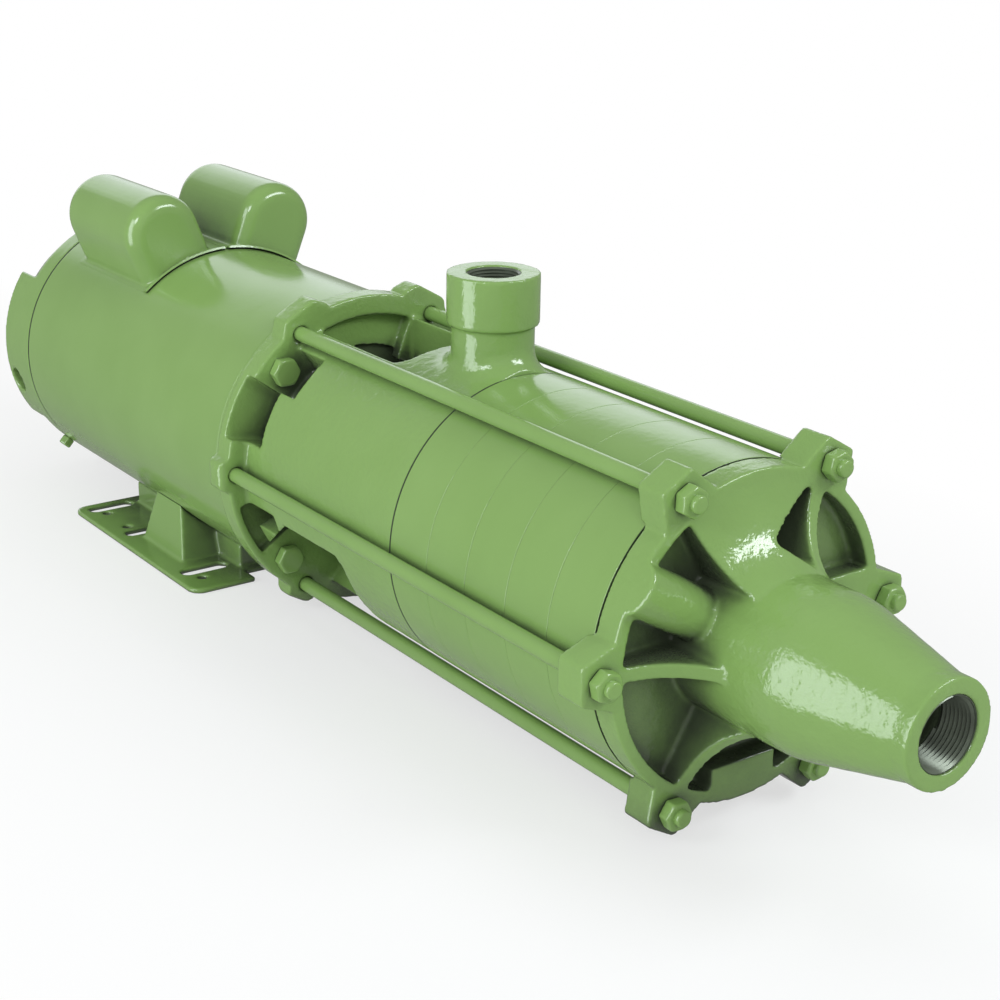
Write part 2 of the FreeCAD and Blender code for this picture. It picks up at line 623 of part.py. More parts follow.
def rear_end_shield():
    cavity = rod(REAR_FACE_X + REAR_SHIELD_WALL, SHELL_REAR_X + CUT_OVER, REAR_FACE_R - REAR_SHIELD_WALL)
    shield = rear_shield_body().cut(cavity)
    spigot = tube(SHELL_REAR_X - SPIGOT_LENGTH, SHELL_REAR_X + SPIGOT_LENGTH,
                  SPIGOT_R, SPIGOT_R - SPIGOT_WALL)
    seat = REAR_BEARING_OUTER_R + FIT_GAP
    housing = tube(REAR_FACE_X + CUT_OVER, REAR_BEARING_X + REAR_BEARING_WIDTH,
                   seat + REAR_SEAT_WALL, seat)
    floor = rod(REAR_FACE_X, REAR_FACE_X + REAR_SHIELD_WALL, seat + REAR_SEAT_WALL)
    holes = [rod(REAR_FACE_X - CUT_OVER, SHELL_REAR_X + SPIGOT_LENGTH + CUT_OVER,
                 THROUGH_BOLT_R + FIT_GAP, p.y, p.z) for p in through_bolt_places()]
    spot_face_r = THROUGH_BOLT_ACROSS / math.sqrt(3) + SPOT_FACE_ROOM
    holes += [rod(REAR_FACE_X - CUT_OVER, LOBE_BACK_X, spot_face_r, p.y, p.z)
              for p in through_bolt_places()]
    holes += [rod(REAR_FACE_X - CUT_OVER, REAR_FACE_X + REAR_SHIELD_WALL + CUT_OVER,
                  TERMINAL_SCREW_R + FIT_GAP, p.y, p.z) for p in terminal_screw_places()]
    width, height = TERMINAL_OPENING
    holes.append(Part.makeBox(REAR_SHIELD_WALL + 2 * CUT_OVER, width, height,
                              V(REAR_FACE_X - CUT_OVER, -width / 2, -TERMINAL_DROP - height / 2)))
    cable_x = LOBE_BACK_X + CABLE_HOLE_R + CABLE_HOLE_EDGE
    holes.append(radial_rod(cable_x, LOBE_DEPTH_R, SHELL_R + CUT_OVER,
                            CABLE_HOLE_R, CABLE_HOLE_ANGLE))
    holes.append(radial_rod(EARTH_SCREW_X, SHELL_R - EARTH_SCREW_DEPTH - CUT_OVER, SHELL_R + CUT_OVER,
                            EARTH_SCREW_R, EARTH_SCREW_ANGLE))
    return cut(fuse(shield, spigot, housing, floor), *holes)


def earth_screw():
    shank = radial_rod(EARTH_SCREW_X, SHELL_R - EARTH_SCREW_DEPTH, SHELL_R + CUT_OVER,
                       EARTH_SCREW_R, EARTH_SCREW_ANGLE)
    cap = hexagon(SHELL_R, SHELL_R + EARTH_SCREW_HEAD, EARTH_SCREW_ACROSS)
    cap.rotate(V(0, 0, 0), V(0, 1, 0), -90.0)
    cap.translate(V(EARTH_SCREW_X, 0, 0))
    seat = rod(EARTH_SCREW_X - EARTH_SCREW_ACROSS, EARTH_SCREW_X + EARTH_SCREW_ACROSS, SHELL_R)
    return fuse(turn(cap, EARTH_SCREW_ANGLE - 90.0).cut(seat), shank)


def terminal_cover():
    width, height = TERMINAL_COVER
    plate = Part.makeBox(TERMINAL_COVER_SHEET, width, height,
                         V(REAR_FACE_X - TERMINAL_COVER_SHEET, -width / 2, -TERMINAL_DROP - height / 2))
    plate = round_edges(plate, TERMINAL_COVER_CORNER,
                        lambda edge: abs(edge.Length - TERMINAL_COVER_SHEET) < 0.01)
    holes = [rod(REAR_FACE_X - 2 * TERMINAL_COVER_SHEET, REAR_FACE_X, TERMINAL_SCREW_R + FIT_GAP, p.y, p.z)
             for p in terminal_screw_places()]
    return cut(plate, *holes)


def pan_screw(seat_x, head_radius, radius, length, place):
    """Small screw with its head on the -X side of seat_x."""
    head = rod(seat_x - radius, seat_x, head_radius, place.y, place.z)
    return fuse(head, rod(seat_x, seat_x + length, radius, place.y, place.z))


def terminal_screws():
    return [pan_screw(REAR_FACE_X - TERMINAL_COVER_SHEET, TERMINAL_SCREW_HEAD_R, TERMINAL_SCREW_R,
                      TERMINAL_SCREW_LENGTH, p) for p in terminal_screw_places()]


def slot_prism(x0, x1, shrink):
    """One stator slot at the top of the bore, shrunk by a lining."""
    inner = STATOR_BORE_R + 2.0 + shrink
    outer = SLOT_TOP_R - shrink
    half_in = inner * math.tan(math.radians(360.0 / STATOR_SLOTS / 4)) - shrink
    half_out = outer * math.tan(math.radians(360.0 / STATOR_SLOTS / 4)) - shrink
    corners = [V(x0, -half_in, inner), V(x0, half_in, inner),
               V(x0, half_out, outer), V(x0, -half_out, outer)]
    face = Part.Face(Part.makePolygon(corners + corners[:1]))
    return face.extrude(V(x1 - x0, 0, 0))


def stator_core():
    core = tube(STACK_REAR_X, STACK_FRONT_X, SHELL_BORE_R - FIT_GAP, STATOR_BORE_R)
    mouth = Part.makeBox(STACK_LENGTH + 2 * CUT_OVER, SLOT_MOUTH, 6.0,
                         V(STACK_REAR_X - CUT_OVER, -SLOT_MOUTH / 2, STATOR_BORE_R - 2.0))
    slot = fuse(slot_prism(STACK_REAR_X - CUT_OVER, STACK_FRONT_X + CUT_OVER, 0.0), mouth)
    cutters = [turn(slot, 360.0 / STATOR_SLOTS * i) for i in range(STATOR_SLOTS)]
    bolt_hole_r = THROUGH_BOLT_R + THROUGH_BOLT_ROOM
    cutters += [rod(STACK_REAR_X - CUT_OVER, STACK_FRONT_X + CUT_OVER, bolt_hole_r, p.y, p.z)
                for p in through_bolt_places()]
    return cut(core, *cutters)


def stator_winding():
    gap = WINDING_GAP
    bar = slot_prism(STACK_REAR_X - 2 * gap, STACK_FRONT_X + 2 * gap, SLOT_LINING)
    bars = [turn(bar, 360.0 / STATOR_SLOTS * i) for i in range(STATOR_SLOTS)]
    ends = [tube(STACK_REAR_X - WINDING_OVERHANG, STACK_REAR_X - gap, SLOT_TOP_R, STATOR_BORE_R + 5.0),
            tube(STACK_FRONT_X + gap, STACK_FRONT_X + WINDING_OVERHANG, SLOT_TOP_R, STATOR_BORE_R + 5.0)]
    return fuse(ends[0], ends[1], *bars)


def cage_bar(x0, x1):
    width, height = CAGE_BAR
    return Part.makeBox(x1 - x0, width, height, V(x0, -width / 2, CAGE_BAR_R - height / 2))


def rotor_core():
    core = tube(STACK_REAR_X, STACK_FRONT_X, ROTOR_R, ROTOR_SEAT_R)
    bar = cage_bar(STACK_REAR_X - CUT_OVER, STACK_FRONT_X + CUT_OVER)
    return cut(core, *[turn(bar, 360.0 / CAGE_BARS * i) for i in range(CAGE_BARS)])


def rotor_cage():
    bar = cage_bar(STACK_REAR_X - CUT_OVER, STACK_FRONT_X + CUT_OVER)
    bars = [turn(bar, 360.0 / CAGE_BARS * i) for i in range(CAGE_BARS)]
    outer = CAGE_BAR_R + CAGE_RING_OVER
    inner = CAGE_BAR_R - CAGE_RING_UNDER
    rings = [tube(STACK_REAR_X - CAGE_RING_LENGTH, STACK_REAR_X, outer, inner),
             tube(STACK_FRONT_X, STACK_FRONT_X + CAGE_RING_LENGTH, outer, inner)]
    blade_root = STACK_FRONT_X + CAGE_RING_LENGTH - CUT_OVER
    length, thick = CAGE_BLADE
    blade = Part.makeBox(length, thick, outer - inner - 2 * CUT_OVER,
                         V(blade_root, -thick / 2, inner + CUT_OVER))
    blades = [turn(blade, 360.0 / CAGE_BARS * (i + 0.5)) for i in range(0, CAGE_BARS, 2)]
    return fuse(rings[0], rings[1], *(bars + blades))


def bearing_rings(x0, width, bore, outer):
    """Sealed ball bearing: outer ring with its seals, and inner ring."""
    inner_outer = bore + BEARING_RACE
    return tube(x0, x0 + width, outer, inner_outer + RUN_GAP), tube(x0, x0 + width, inner_outer, bore)


def motor_shaft():
    bearing_front = FRONT_BEARING_X + FRONT_BEARING_WIDTH
    return turned([
        (MOTOR_SHAFT_REAR_X, 0), (MOTOR_SHAFT_REAR_X, REAR_BEARING_BORE_R),
        (REAR_BEARING_X + REAR_BEARING_WIDTH, REAR_BEARING_BORE_R),
        (REAR_BEARING_X + REAR_BEARING_WIDTH, MOTOR_SHAFT_R),
        (STACK_REAR_X - 2.0, MOTOR_SHAFT_R), (STACK_REAR_X - 2.0, ROTOR_SEAT_R),
        (STACK_FRONT_X + 2.0, ROTOR_SEAT_R), (STACK_FRONT_X + 2.0, MOTOR_SHAFT_R),
        (FRONT_BEARING_X, MOTOR_SHAFT_R), (FRONT_BEARING_X, FRONT_BEARING_BORE_R),
        (bearing_front, FRONT_BEARING_BORE_R), (bearing_front, DRIVE_END_R),
        (MOTOR_SHAFT_FRONT_X, DRIVE_END_R), (MOTOR_SHAFT_FRONT_X, 0)])


# Centrifugal starting switch


def governor_plate():
    hub = tube(GOVERNOR_PLATE_X, GOVERNOR_PLATE_X + GOVERNOR_HUB_LENGTH,
               MOTOR_SHAFT_R + GOVERNOR_HUB_WALL, MOTOR_SHAFT_R)
    disc = tube(GOVERNOR_PLATE_X, GOVERNOR_PLATE_X + GOVERNOR_SHEET, GOVERNOR_PLATE_R, MOTOR_SHAFT_R)
    ears = []
    inner = WEIGHT_HALF_WIDTH + RUN_GAP
    length, height = GOVERNOR_EAR
    for degrees in (90.0, 270.0):
        for side in (inner, -inner - GOVERNOR_SHEET):
            ear = Part.makeBox(length, GOVERNOR_SHEET, height,
                               V(GOVERNOR_PLATE_X - length, side, GOVERNOR_PIVOT_R - height / 2))
            ears.append(turn(ear, degrees - 90.0))
    return fuse(disc, hub, *ears).cut(Part.makeCompound(governor_pins()))


def governor_pins():
    half = WEIGHT_HALF_WIDTH + RUN_GAP + GOVERNOR_SHEET + GOVERNOR_PIN_PROUD
    pins = []
    for degrees in (90.0, 270.0):
        pin = Part.makeCylinder(GOVERNOR_PIN_R, 2 * half, V(GOVERNOR_X, -half, GOVERNOR_PIVOT_R),
                                V(0, 1, 0))
        pins.append(turn(pin, degrees - 90.0))
    return pins


def governor_weight(degrees):
    width = 2 * WEIGHT_HALF_WIDTH
    length, height = WEIGHT_MASS
    mass = Part.makeBox(length, width, height,
                        V(GOVERNOR_X, -width / 2, GOVERNOR_PIVOT_R - WEIGHT_MASS_SET_IN))
    eye = Part.makeCylinder(WEIGHT_EYE_R, width, V(GOVERNOR_X, -width / 2, GOVERNOR_PIVOT_R), V(0, 1, 0))
    finger_end = SLEEVE_BODY_R + FINGER_GAP
    finger = Part.makeBox(WEIGHT_FINGER, WEIGHT_FINGER_WIDTH, GOVERNOR_PIVOT_R - finger_end,
                          V(GOVERNOR_X - WEIGHT_FINGER / 2, -WEIGHT_FINGER_WIDTH / 2, finger_end))
    hole = Part.makeCylinder(GOVERNOR_PIN_R + FIT_GAP, width + 2 * CUT_OVER,
                             V(GOVERNOR_X, -width / 2 - CUT_OVER, GOVERNOR_PIVOT_R), V(0, 1, 0))
    return turn(fuse(mass, eye, finger).cut(hole), degrees - 90.0)


def governor_sleeve():
    bore = MOTOR_SHAFT_R + FIT_GAP
    low = GOVERNOR_X - SLEEVE_GROOVE_HALF
    high = GOVERNOR_X + SLEEVE_GROOVE_HALF
    front = high + SLEEVE_FLANGE
    rear = front - SLEEVE_LENGTH
    return turned([(rear, bore), (rear, SLEEVE_FLANGE_R), (low, SLEEVE_FLANGE_R), (low, SLEEVE_BODY_R),
                   (high, SLEEVE_BODY_R), (high, SLEEVE_FLANGE_R), (front, SLEEVE_FLANGE_R),
                   (front, bore)])


def switch_board():
    """Insulating board on the rear shield's ledge; the sleeve holds its contact arm closed."""
    sleeve_rear = GOVERNOR_X + SLEEVE_GROOVE_HALF + SLEEVE_FLANGE - SLEEVE_LENGTH
    board_front = SHELL_REAR_X + SWITCH_BOARD[0]
    low = SLEEVE_FLANGE_R + SWITCH_BOARD_GAP
    board = Part.makeBox(*SWITCH_BOARD, V(SHELL_REAR_X, -SWITCH_BOARD[1] / 2, low))
    arm = Part.makeBox(sleeve_rear - board_front - FIT_GAP, SWITCH_ARM_WIDTH, SWITCH_ARM_THICK,
                       V(board_front, -SWITCH_ARM_WIDTH / 2, low + SWITCH_ARM_WIDTH))
    tongue_end = SLEEVE_BODY_R + SWITCH_TONGUE
    tongue = Part.makeBox(SWITCH_TONGUE, SWITCH_ARM_WIDTH, low + SWITCH_ARM_WIDTH - tongue_end,
                          V(sleeve_rear - FIT_GAP - SWITCH_TONGUE, -SWITCH_ARM_WIDTH / 2, tongue_end))
    return fuse(board, arm, tongue)


# Capacitors and their covers


def cover_form(wall, end_wall):
    """Round-backed block standing on the shell, shrunk by the cover's walls."""
    rear = COVER_REAR_X + end_wall
    length = COVER_LENGTH - 2 * end_wall
    radius = COVER_R - wall
    low = SHELL_R - COVER_R / 2
    dome = Part.makeCylinder(radius, length, V(rear, 0, COVER_CENTRE_R), V(1, 0, 0))
    sides = Part.makeBox(length, 2 * radius, COVER_CENTRE_R - low, V(rear, -radius, low))
    return fuse(dome, sides)


def rounded_cover():
    ends = (COVER_REAR_X, COVER_FRONT_X)
    return round_edges(cover_form(0.0, 0.0), COVER_EDGE_R,
                       lambda edge: min(abs(edge.CenterOfMass.x - end) for end in ends) < 0.01
                       and edge.CenterOfMass.z > SHELL_R)


def capacitor_cover(side):
    """Cover with its skirt on the shell and a screw tab behind it; side is -1 or 1 along Y."""
    skirt_outer = SHELL_R + FIT_GAP + COVER_SHEET
    rear = COVER_REAR_X
    skirt = sector(rear, SKIRT_FRONT_X, SHELL_R + FIT_GAP, skirt_outer,
                   SKIRT_INNER_ANGLE - COVER_TILT, SKIRT_OUTER_ANGLE - COVER_TILT)
    tab = sector(rear - COVER_TAB, rear, SHELL_R + FIT_GAP, skirt_outer,
                 90.0 - COVER_TAB_HALF_ANGLE, 90.0 + COVER_TAB_HALF_ANGLE)
    seat = rod(rear - COVER_LENGTH, SHELL_FRONT_X, SHELL_R + FIT_GAP)
    outer = fuse(rounded_cover(), skirt, tab)
    cover = outer.cut(cover_form(COVER_SHEET, COVER_END_WALL)).cut(seat)
    screw_hole = radial_rod(COVER_SCREW_X, SHELL_R - CUT_OVER, skirt_outer + CUT_OVER,
                            COVER_SCREW_R, 90.0)
    cover = turn(cover.cut(screw_hole), COVER_TILT)
    return cover if side < 0 else cover.mirror(V(0, 0, 0), V(0, 1, 0))


def capacitor_cover_screws():
    seat = SHELL_R + FIT_GAP + COVER_SHEET
    angle = 90.0 + COVER_TILT
    head = radial_rod(COVER_SCREW_X, seat, seat + COVER_SCREW_HEAD, COVER_SCREW_HEAD_R, angle)
    shank = radial_rod(COVER_SCREW_X, SHELL_R + FIT_GAP, seat + CUT_OVER, COVER_SCREW_R - FIT_GAP, angle)
    screw = fuse(head, shank)
    return [screw, screw.mirror(V(0, 0, 0), V(0, 1, 0))]


def capacitor(side):
    """Can lying on the shell under its cover, with two connection tags at the front."""
    rear = COVER_REAR_X + CAPACITOR_SET_BACK
    centre = SHELL_R + 2 * FIT_GAP + CAPACITOR_R
    can = Part.makeCylinder(CAPACITOR_R, CAPACITOR_LENGTH, V(rear, 0, centre), V(1, 0, 0))
    length, thick, height = CAPACITOR_TAG
    tags = [Part.makeBox(length, thick, height,
                         V(rear + CAPACITOR_LENGTH - CUT_OVER, place - thick / 2, centre - height / 2))
            for place in (-CAPACITOR_TAG_GAUGE / 2, CAPACITOR_TAG_GAUGE / 2)]
    return turn(fuse(can, *tags), -side * COVER_TILT)


# Discharge casing


def rod_places():
    return [at_angle(0, ROD_CIRCLE_R, a) for a in ROD_ANGLES]


def flange_lug(degrees):
    """Ear on the flange for one tie rod; the top pair lean towards each other."""
    points = TOP_LUG if degrees in TOP_RODS else SIDE_LUG
    side = -1 if degrees == min(TOP_RODS) else 1
    corners = [V(MOTOR_FACE_X, side * t, ROD_CIRCLE_R + r) for t, r in points]
    lug = Part.Face(Part.makePolygon(corners + corners[:1])).extrude(V(FLANGE_THICK, 0, 0))
    top = ROD_CIRCLE_R + max(r for t, r in points)
    lug = round_edges(lug, FLANGE_LUG_ROUND, lambda edge: abs(edge.CenterOfMass.z - top) < 0.01
                      and abs(edge.Length - FLANGE_THICK) < 0.01)
    return turn(lug, degrees - 90.0)


def window_cutter(points, degrees):
    block = radial_prism(points, WINDOW_DEPTH_R, FLANGE_R, 90.0)
    front = max(x for x, t in points)
    block = round_edges(block, WINDOW_ROUND, lambda edge: abs(edge.CenterOfMass.x - front) < 0.01
                        and abs(edge.tangentAt(edge.FirstParameter).z) > 0.99)
    return turn(block, degrees - 90.0)


def lantern_cutters():
    rear = FLANGE_FRONT_X
    back = MOTOR_FACE_X + FLANGE_PLATE
    top = [(rear, -TOP_WINDOW_HALF), (TOP_WINDOW_FRONT_X, -TOP_WINDOW_HALF),
           (TOP_WINDOW_FRONT_X, TOP_WINDOW_HALF), (rear, TOP_WINDOW_HALF)]
    low = [(LOW_WINDOW_STEP_X, LOW_WINDOW_HALF), (LOW_WINDOW_FRONT_X, LOW_WINDOW_HALF),
           (LOW_WINDOW_FRONT_X, -LOW_WINDOW_HALF), (rear, -LOW_WINDOW_HALF), (rear, LOW_WINDOW_STEP)]
    low_mirror = [(x, -t) for x, t in reversed(low)]
    top_half = math.degrees(TOP_WINDOW_HALF / CASING_R)
    cutters = [window_cutter(top, 90.0),
               window_cutter(low, LOW_WINDOW_ANGLE),
               window_cutter(low_mirror, 540.0 - LOW_WINDOW_ANGLE),
               sector(back, rear + CUT_OVER, WINDOW_DEPTH_R, FLANGE_R - FLANGE_RING_WALL,
                      90.0 - top_half, 90.0 + top_half)]
    recesses = [(rear, front, FLANGE_R, start, end)
                for front, start, end in (BOLT_POCKET, SIDE_POCKET, LOW_POCKET)]
    recesses.append((back, rear + CUT_OVER, FLANGE_R + CUT_OVER, *OPEN_RECESS))
    recesses.append((back, rear + CUT_OVER, FLANGE_R - FLANGE_THIN_RING, *RINGED_RECESS))
    for x0, x1, outer, start, end in recesses:
        cutters.append(sector(x0, x1, POCKET_DEPTH_R, outer, start, end))
        cutters.append(sector(x0, x1, POCKET_DEPTH_R, outer, 540.0 - end, 540.0 - start))
    return cutters


def discharge_port_outside():
    low = CASING_R - PORT_NECK_R
    neck = Part.makeCylinder(PORT_NECK_R, PORT_TOP - low, V(PORT_X, 0, low))
    room = 2 * PORT_NECK_R
    barrel = rod(SEAL_WALL_X - BODY_LAP, CASING_FRONT_X + room, CASING_R)
    joined = barrel.fuse(neck)
    joined = round_edges(joined, PORT_FLARE_R, lambda edge: low < edge.CenterOfMass.z < CASING_R + 1.0
                         and abs(edge.CenterOfMass.x - PORT_X) < PORT_NECK_R
                         and edge.BoundBox.YLength > PORT_NECK_R)
    collar = Part.makeCylinder(PORT_COLLAR_R, PORT_COLLAR_HEIGHT,
                               V(PORT_X, 0, PORT_TOP - PORT_COLLAR_HEIGHT))
    beyond = rod(CASING_FRONT_X, CASING_FRONT_X + 2 * room, 2 * CASING_R)
    return joined.fuse(collar).cut(beyond)


def discharge_casing():
    bore = PILOT_R + FIT_GAP
    passage = SEAL_SHAFT_R + SHAFT_PASSAGE_ROOM
    body_rear = SEAL_WALL_X - BODY_LAP
    rear = turned([
        (MOTOR_FACE_X, bore), (MOTOR_FACE_X, FLANGE_R), (FLANGE_FRONT_X, FLANGE_R),
        (FLANGE_FRONT_X, CASING_R), (body_rear, CASING_R), (body_rear, LANTERN_R),
        (LANTERN_WIDE_X, LANTERN_R), (LANTERN_TAPER_X, LANTERN_REAR_R),
        (MOTOR_FACE_X + FLANGE_PLATE, LANTERN_REAR_R), (MOTOR_FACE_X + FLANGE_PLATE, bore)])
    lugs = [flange_lug(a) for a in ROD_ANGLES]
    pads = [rod(MOTOR_FACE_X, FLANGE_FRONT_X, FLANGE_PAD_R, p.y, p.z) for p in face_bolt_places()]
    outside = fuse(discharge_port_outside(), rear, *(lugs + pads))
    lantern_end = rod(LANTERN_WIDE_X, SEAL_WALL_X, LANTERN_R)
    chamber = rod(CHAMBER_REAR_X, CASING_FRONT_X + CUT_OVER, CHAMBER_R)
    hub = rod(SEAL_WALL_X - SEAL_BOSS_LENGTH, SEAL_WALL_X + CUT_OVER, SEAT_R + SEAL_BOSS_WALL)
    body = cut(outside, lantern_end.cut(hub), chamber)
    holes = [rod(MOTOR_FACE_X, CHAMBER_REAR_X + CUT_OVER, passage),
             rod(CHAMBER_REAR_X - SEAT_DEPTH, CHAMBER_REAR_X + CUT_OVER, SEAT_R + FIT_GAP),
             Part.makeCylinder(PORT_BORE_R, PORT_TOP, V(PORT_X + PORT_BORE_OFFSET, 0, SEAT_R)),
             Part.makeCylinder(PORT_THREAD_R, PORT_THREAD_DEPTH + CUT_OVER,
                               V(PORT_X, 0, PORT_TOP - PORT_THREAD_DEPTH))]
    holes += [rod(MOTOR_FACE_X - CUT_OVER, FLANGE_FRONT_X + CUT_OVER, FACE_BOLT_R + RUN_GAP, p.y, p.z)
              for p in face_bolt_places()]
    holes += [rod(ROD_REAR_X, FLANGE_FRONT_X + CUT_OVER, ROD_R + FIT_GAP, p.y, p.z)
              for p in rod_places()]
    return cut(body, *(holes + lantern_cutters()))


# Stages


def stage_front(stage):
    """Front joint of a stage, counted from 1 at the suction end."""
    return SUCTION_JOINT_X - (stage - 1) * STAGE_PITCH


def stage_casing(stage):
    front = stage_front(stage)
    rear = front - STAGE_PITCH
    return turned([(front, EYE_R), (front, CASING_R), (rear, CASING_R), (rear, STAGE_BORE_R),
                   (front - DIAPHRAGM, STAGE_BORE_R), (front - DIAPHRAGM, EYE_R)])


def curved_vane(inner, outer, start, sweep, thick, x0, x1):
    """Vane of constant thickness along one arc in the plane across the axis."""
    middle = (inner + outer) / 2
    points = [at_angle(x0, inner, start), at_angle(x0, middle, start + 0.42 * sweep),
              at_angle(x0, outer, start + sweep)]
    circle = Part.Circle(*points)
    sides = []
    for offset in (thick / 2, -thick / 2):
        scale = (circle.Radius + offset) / circle.Radius
        sides.append([circle.Center + (p - circle.Center) * scale for p in points])
    one, two = sides
    edges = [Part.Arc(*one).toShape(), Part.LineSegment(one[2], two[2]).toShape(),
             Part.Arc(*two).toShape(), Part.LineSegment(two[0], one[0]).toShape()]
    return Part.Face(Part.Wire(edges)).extrude(V(x1 - x0, 0, 0))


def diffuser_x(stage):
    return stage_front(stage) - DIAPHRAGM - SIDE_GAP - IMPELLER_WIDTH - SIDE_GAP - DIFFUSER_PLATE


def diffuser(stage):
    plate_x = diffuser_x(stage)
    plate = tube(plate_x, plate_x + DIFFUSER_PLATE, DIFFUSER_R, HUB_R + RUN_GAP)
    rear = stage_front(stage) - STAGE_PITCH
    fit = STAGE_BORE_R - FIT_GAP
    vanes = []
    for i in range(DIFFUSER_VANES):
        start = 360.0 / DIFFUSER_VANES * i
        vanes.append(curved_vane(DIFFUSER_VANE_START_R, fit + CUT_OVER, start, DIFFUSER_SWEEP,
                                 VANE_THICK, rear, plate_x + DIFFUSER_PLATE))
    rim = rod(rear, plate_x + DIFFUSER_PLATE, fit)
    return fuse(plate, *[vane.common(rim) for vane in vanes])


def impeller(stage):
    """Half-open wheel: vanes stand on a disc and face the diaphragm of their stage."""
    front = stage_front(stage) - DIAPHRAGM - SIDE_GAP
    back = front - IMPELLER_WIDTH
    hub_front = stage_front(stage) - HUB_SET_BACK
    disc = tube(back, back + SHROUD, IMPELLER_R, PUMP_SHAFT_R)
    hub = tube(hub_front - STAGE_PITCH, hub_front, HUB_R, PUMP_SHAFT_R)
    vanes = [curved_vane(IMPELLER_VANE_START_R, IMPELLER_R, 360.0 / IMPELLER_VANES * i, IMPELLER_SWEEP,
                         VANE_THICK, back + SHROUD / 2, front)
             for i in range(IMPELLER_VANES)]
    rim = rod(back, front, IMPELLER_R)
    return fuse(disc, hub, *[vane.common(rim) for vane in vanes]).cut(impeller_key(0.0))


def impeller_key(shrink):
    low = PUMP_SHAFT_R - KEY_HEIGHT / 2
    return Part.makeBox(KEY_FRONT_X - KEY_REAR_X, KEY_WIDTH - shrink, KEY_HEIGHT,
                        V(KEY_REAR_X, -(KEY_WIDTH - shrink) / 2, low))


# Suction casing


def flare_face(top):
    """Outline from the hub out to the given radius, under the concave flare."""
    joint = SUCTION_JOINT_X
    base = SUCTION_EYE_R + 2.0
    start = (RIM_FRONT_X, FLARE_TOP_R)
    middle = (joint + FLARE_MIDDLE[0], FLARE_MIDDLE[1])
    foot = (joint + FLARE_FOOT_X, NOZZLE_HUB_R - 0.2)
    return outline([(joint, base), (joint, top)], [(joint, top), (RIM_FRONT_X, top)],
                   [(RIM_FRONT_X, top), start], [start, middle, foot],
                   [foot, (foot[0], base)], [(foot[0], base), (joint, base)])


def flare_pocket():
    """Cutter for the three-cornered pocket in the flare."""
    floor = SUCTION_JOINT_X + FLOOR_THICK
    corners = [V(floor, y, z) for y, z in FLARE_POCKET]
    length = NOZZLE_END
    block = Part.Face(Part.makePolygon(corners + corners[:1])).extrude(V(length, 0, 0))
    return round_edges(block, FLARE_POCKET_ROUND, lambda edge: abs(edge.Length - length) < 0.01)


def nozzle_outside():
    joint = SUCTION_JOINT_X
    end = joint + NOZZLE_END
    land = end - NOZZLE_LAND
    shoulder = [(joint + x, r) for x, r in NOZZLE_SHOULDER]
    return revolved(outline(
        [(joint, 0), (joint, NOZZLE_HUB_R)], [(joint, NOZZLE_HUB_R), shoulder[0]], shoulder,
        [shoulder[-1], (land, NOZZLE_END_R)], [(land, NOZZLE_END_R), (end, NOZZLE_END_R)],
        [(end, NOZZLE_END_R), (end, 0)], [(end, 0), (joint, 0)]))


def suction_passage():
    joint = SUCTION_JOINT_X
    end = joint + NOZZLE_END
    thread_end = end - SUCTION_THREAD_DEPTH
    return turned([(joint - CUT_OVER, 0), (joint - CUT_OVER, SUCTION_EYE_R),
                   (joint + SUCTION_EYE_DEPTH, SUCTION_EYE_R), (joint + SUCTION_EYE_DEPTH, SUCTION_BORE_R),
                   (thread_end, SUCTION_BORE_R), (thread_end, SUCTION_THREAD_R),
                   (end + CUT_OVER, SUCTION_THREAD_R), (end + CUT_OVER, 0)])


def suction_lug(degrees):
    front = RIM_FRONT_X
    corners = [V(front, -LUG_ROOT_HALF, CASING_R - 3.0), V(front, LUG_ROOT_HALF, CASING_R - 3.0),
               V(front, LUG_TIP_HALF, LUG_R), V(front, -LUG_TIP_HALF, LUG_R)]
    lug = Part.Face(Part.makePolygon(corners + corners[:1])).extrude(V(-LUG_THICK, 0, 0))
    lug = round_edges(lug, LUG_TIP_ROUND, lambda edge: edge.CenterOfMass.z > LUG_R - 0.5
                      and abs(edge.CenterOfMass.y) > 1.0 and abs(edge.Length - LUG_THICK) < 0.01)
    behind = rod(front - LUG_THICK - CUT_OVER, SUCTION_JOINT_X, CASING_R + RUN_GAP)
    return turn(lug.cut(behind), degrees - 90.0)


def spider_hub():
    start = SUCTION_JOINT_X + SPIDER_OFFSET
    seat_r = JOURNAL_R + FIT_GAP + BUSH_WALL
    hub = rod(start, start + SPIDER_LENGTH, seat_r + SPIDER_HUB_WALL)
    arm = Part.makeBox(SPIDER_LENGTH, SPIDER_ARM, SUCTION_EYE_R + CUT_OVER, V(start, -SPIDER_ARM / 2, 0))
    bore = rod(start - CUT_OVER, start + SPIDER_LENGTH + CUT_OVER, seat_r)
    return fuse(hub, *[turn(arm, a) for a in SPIDER_ANGLES]).cut(bore)


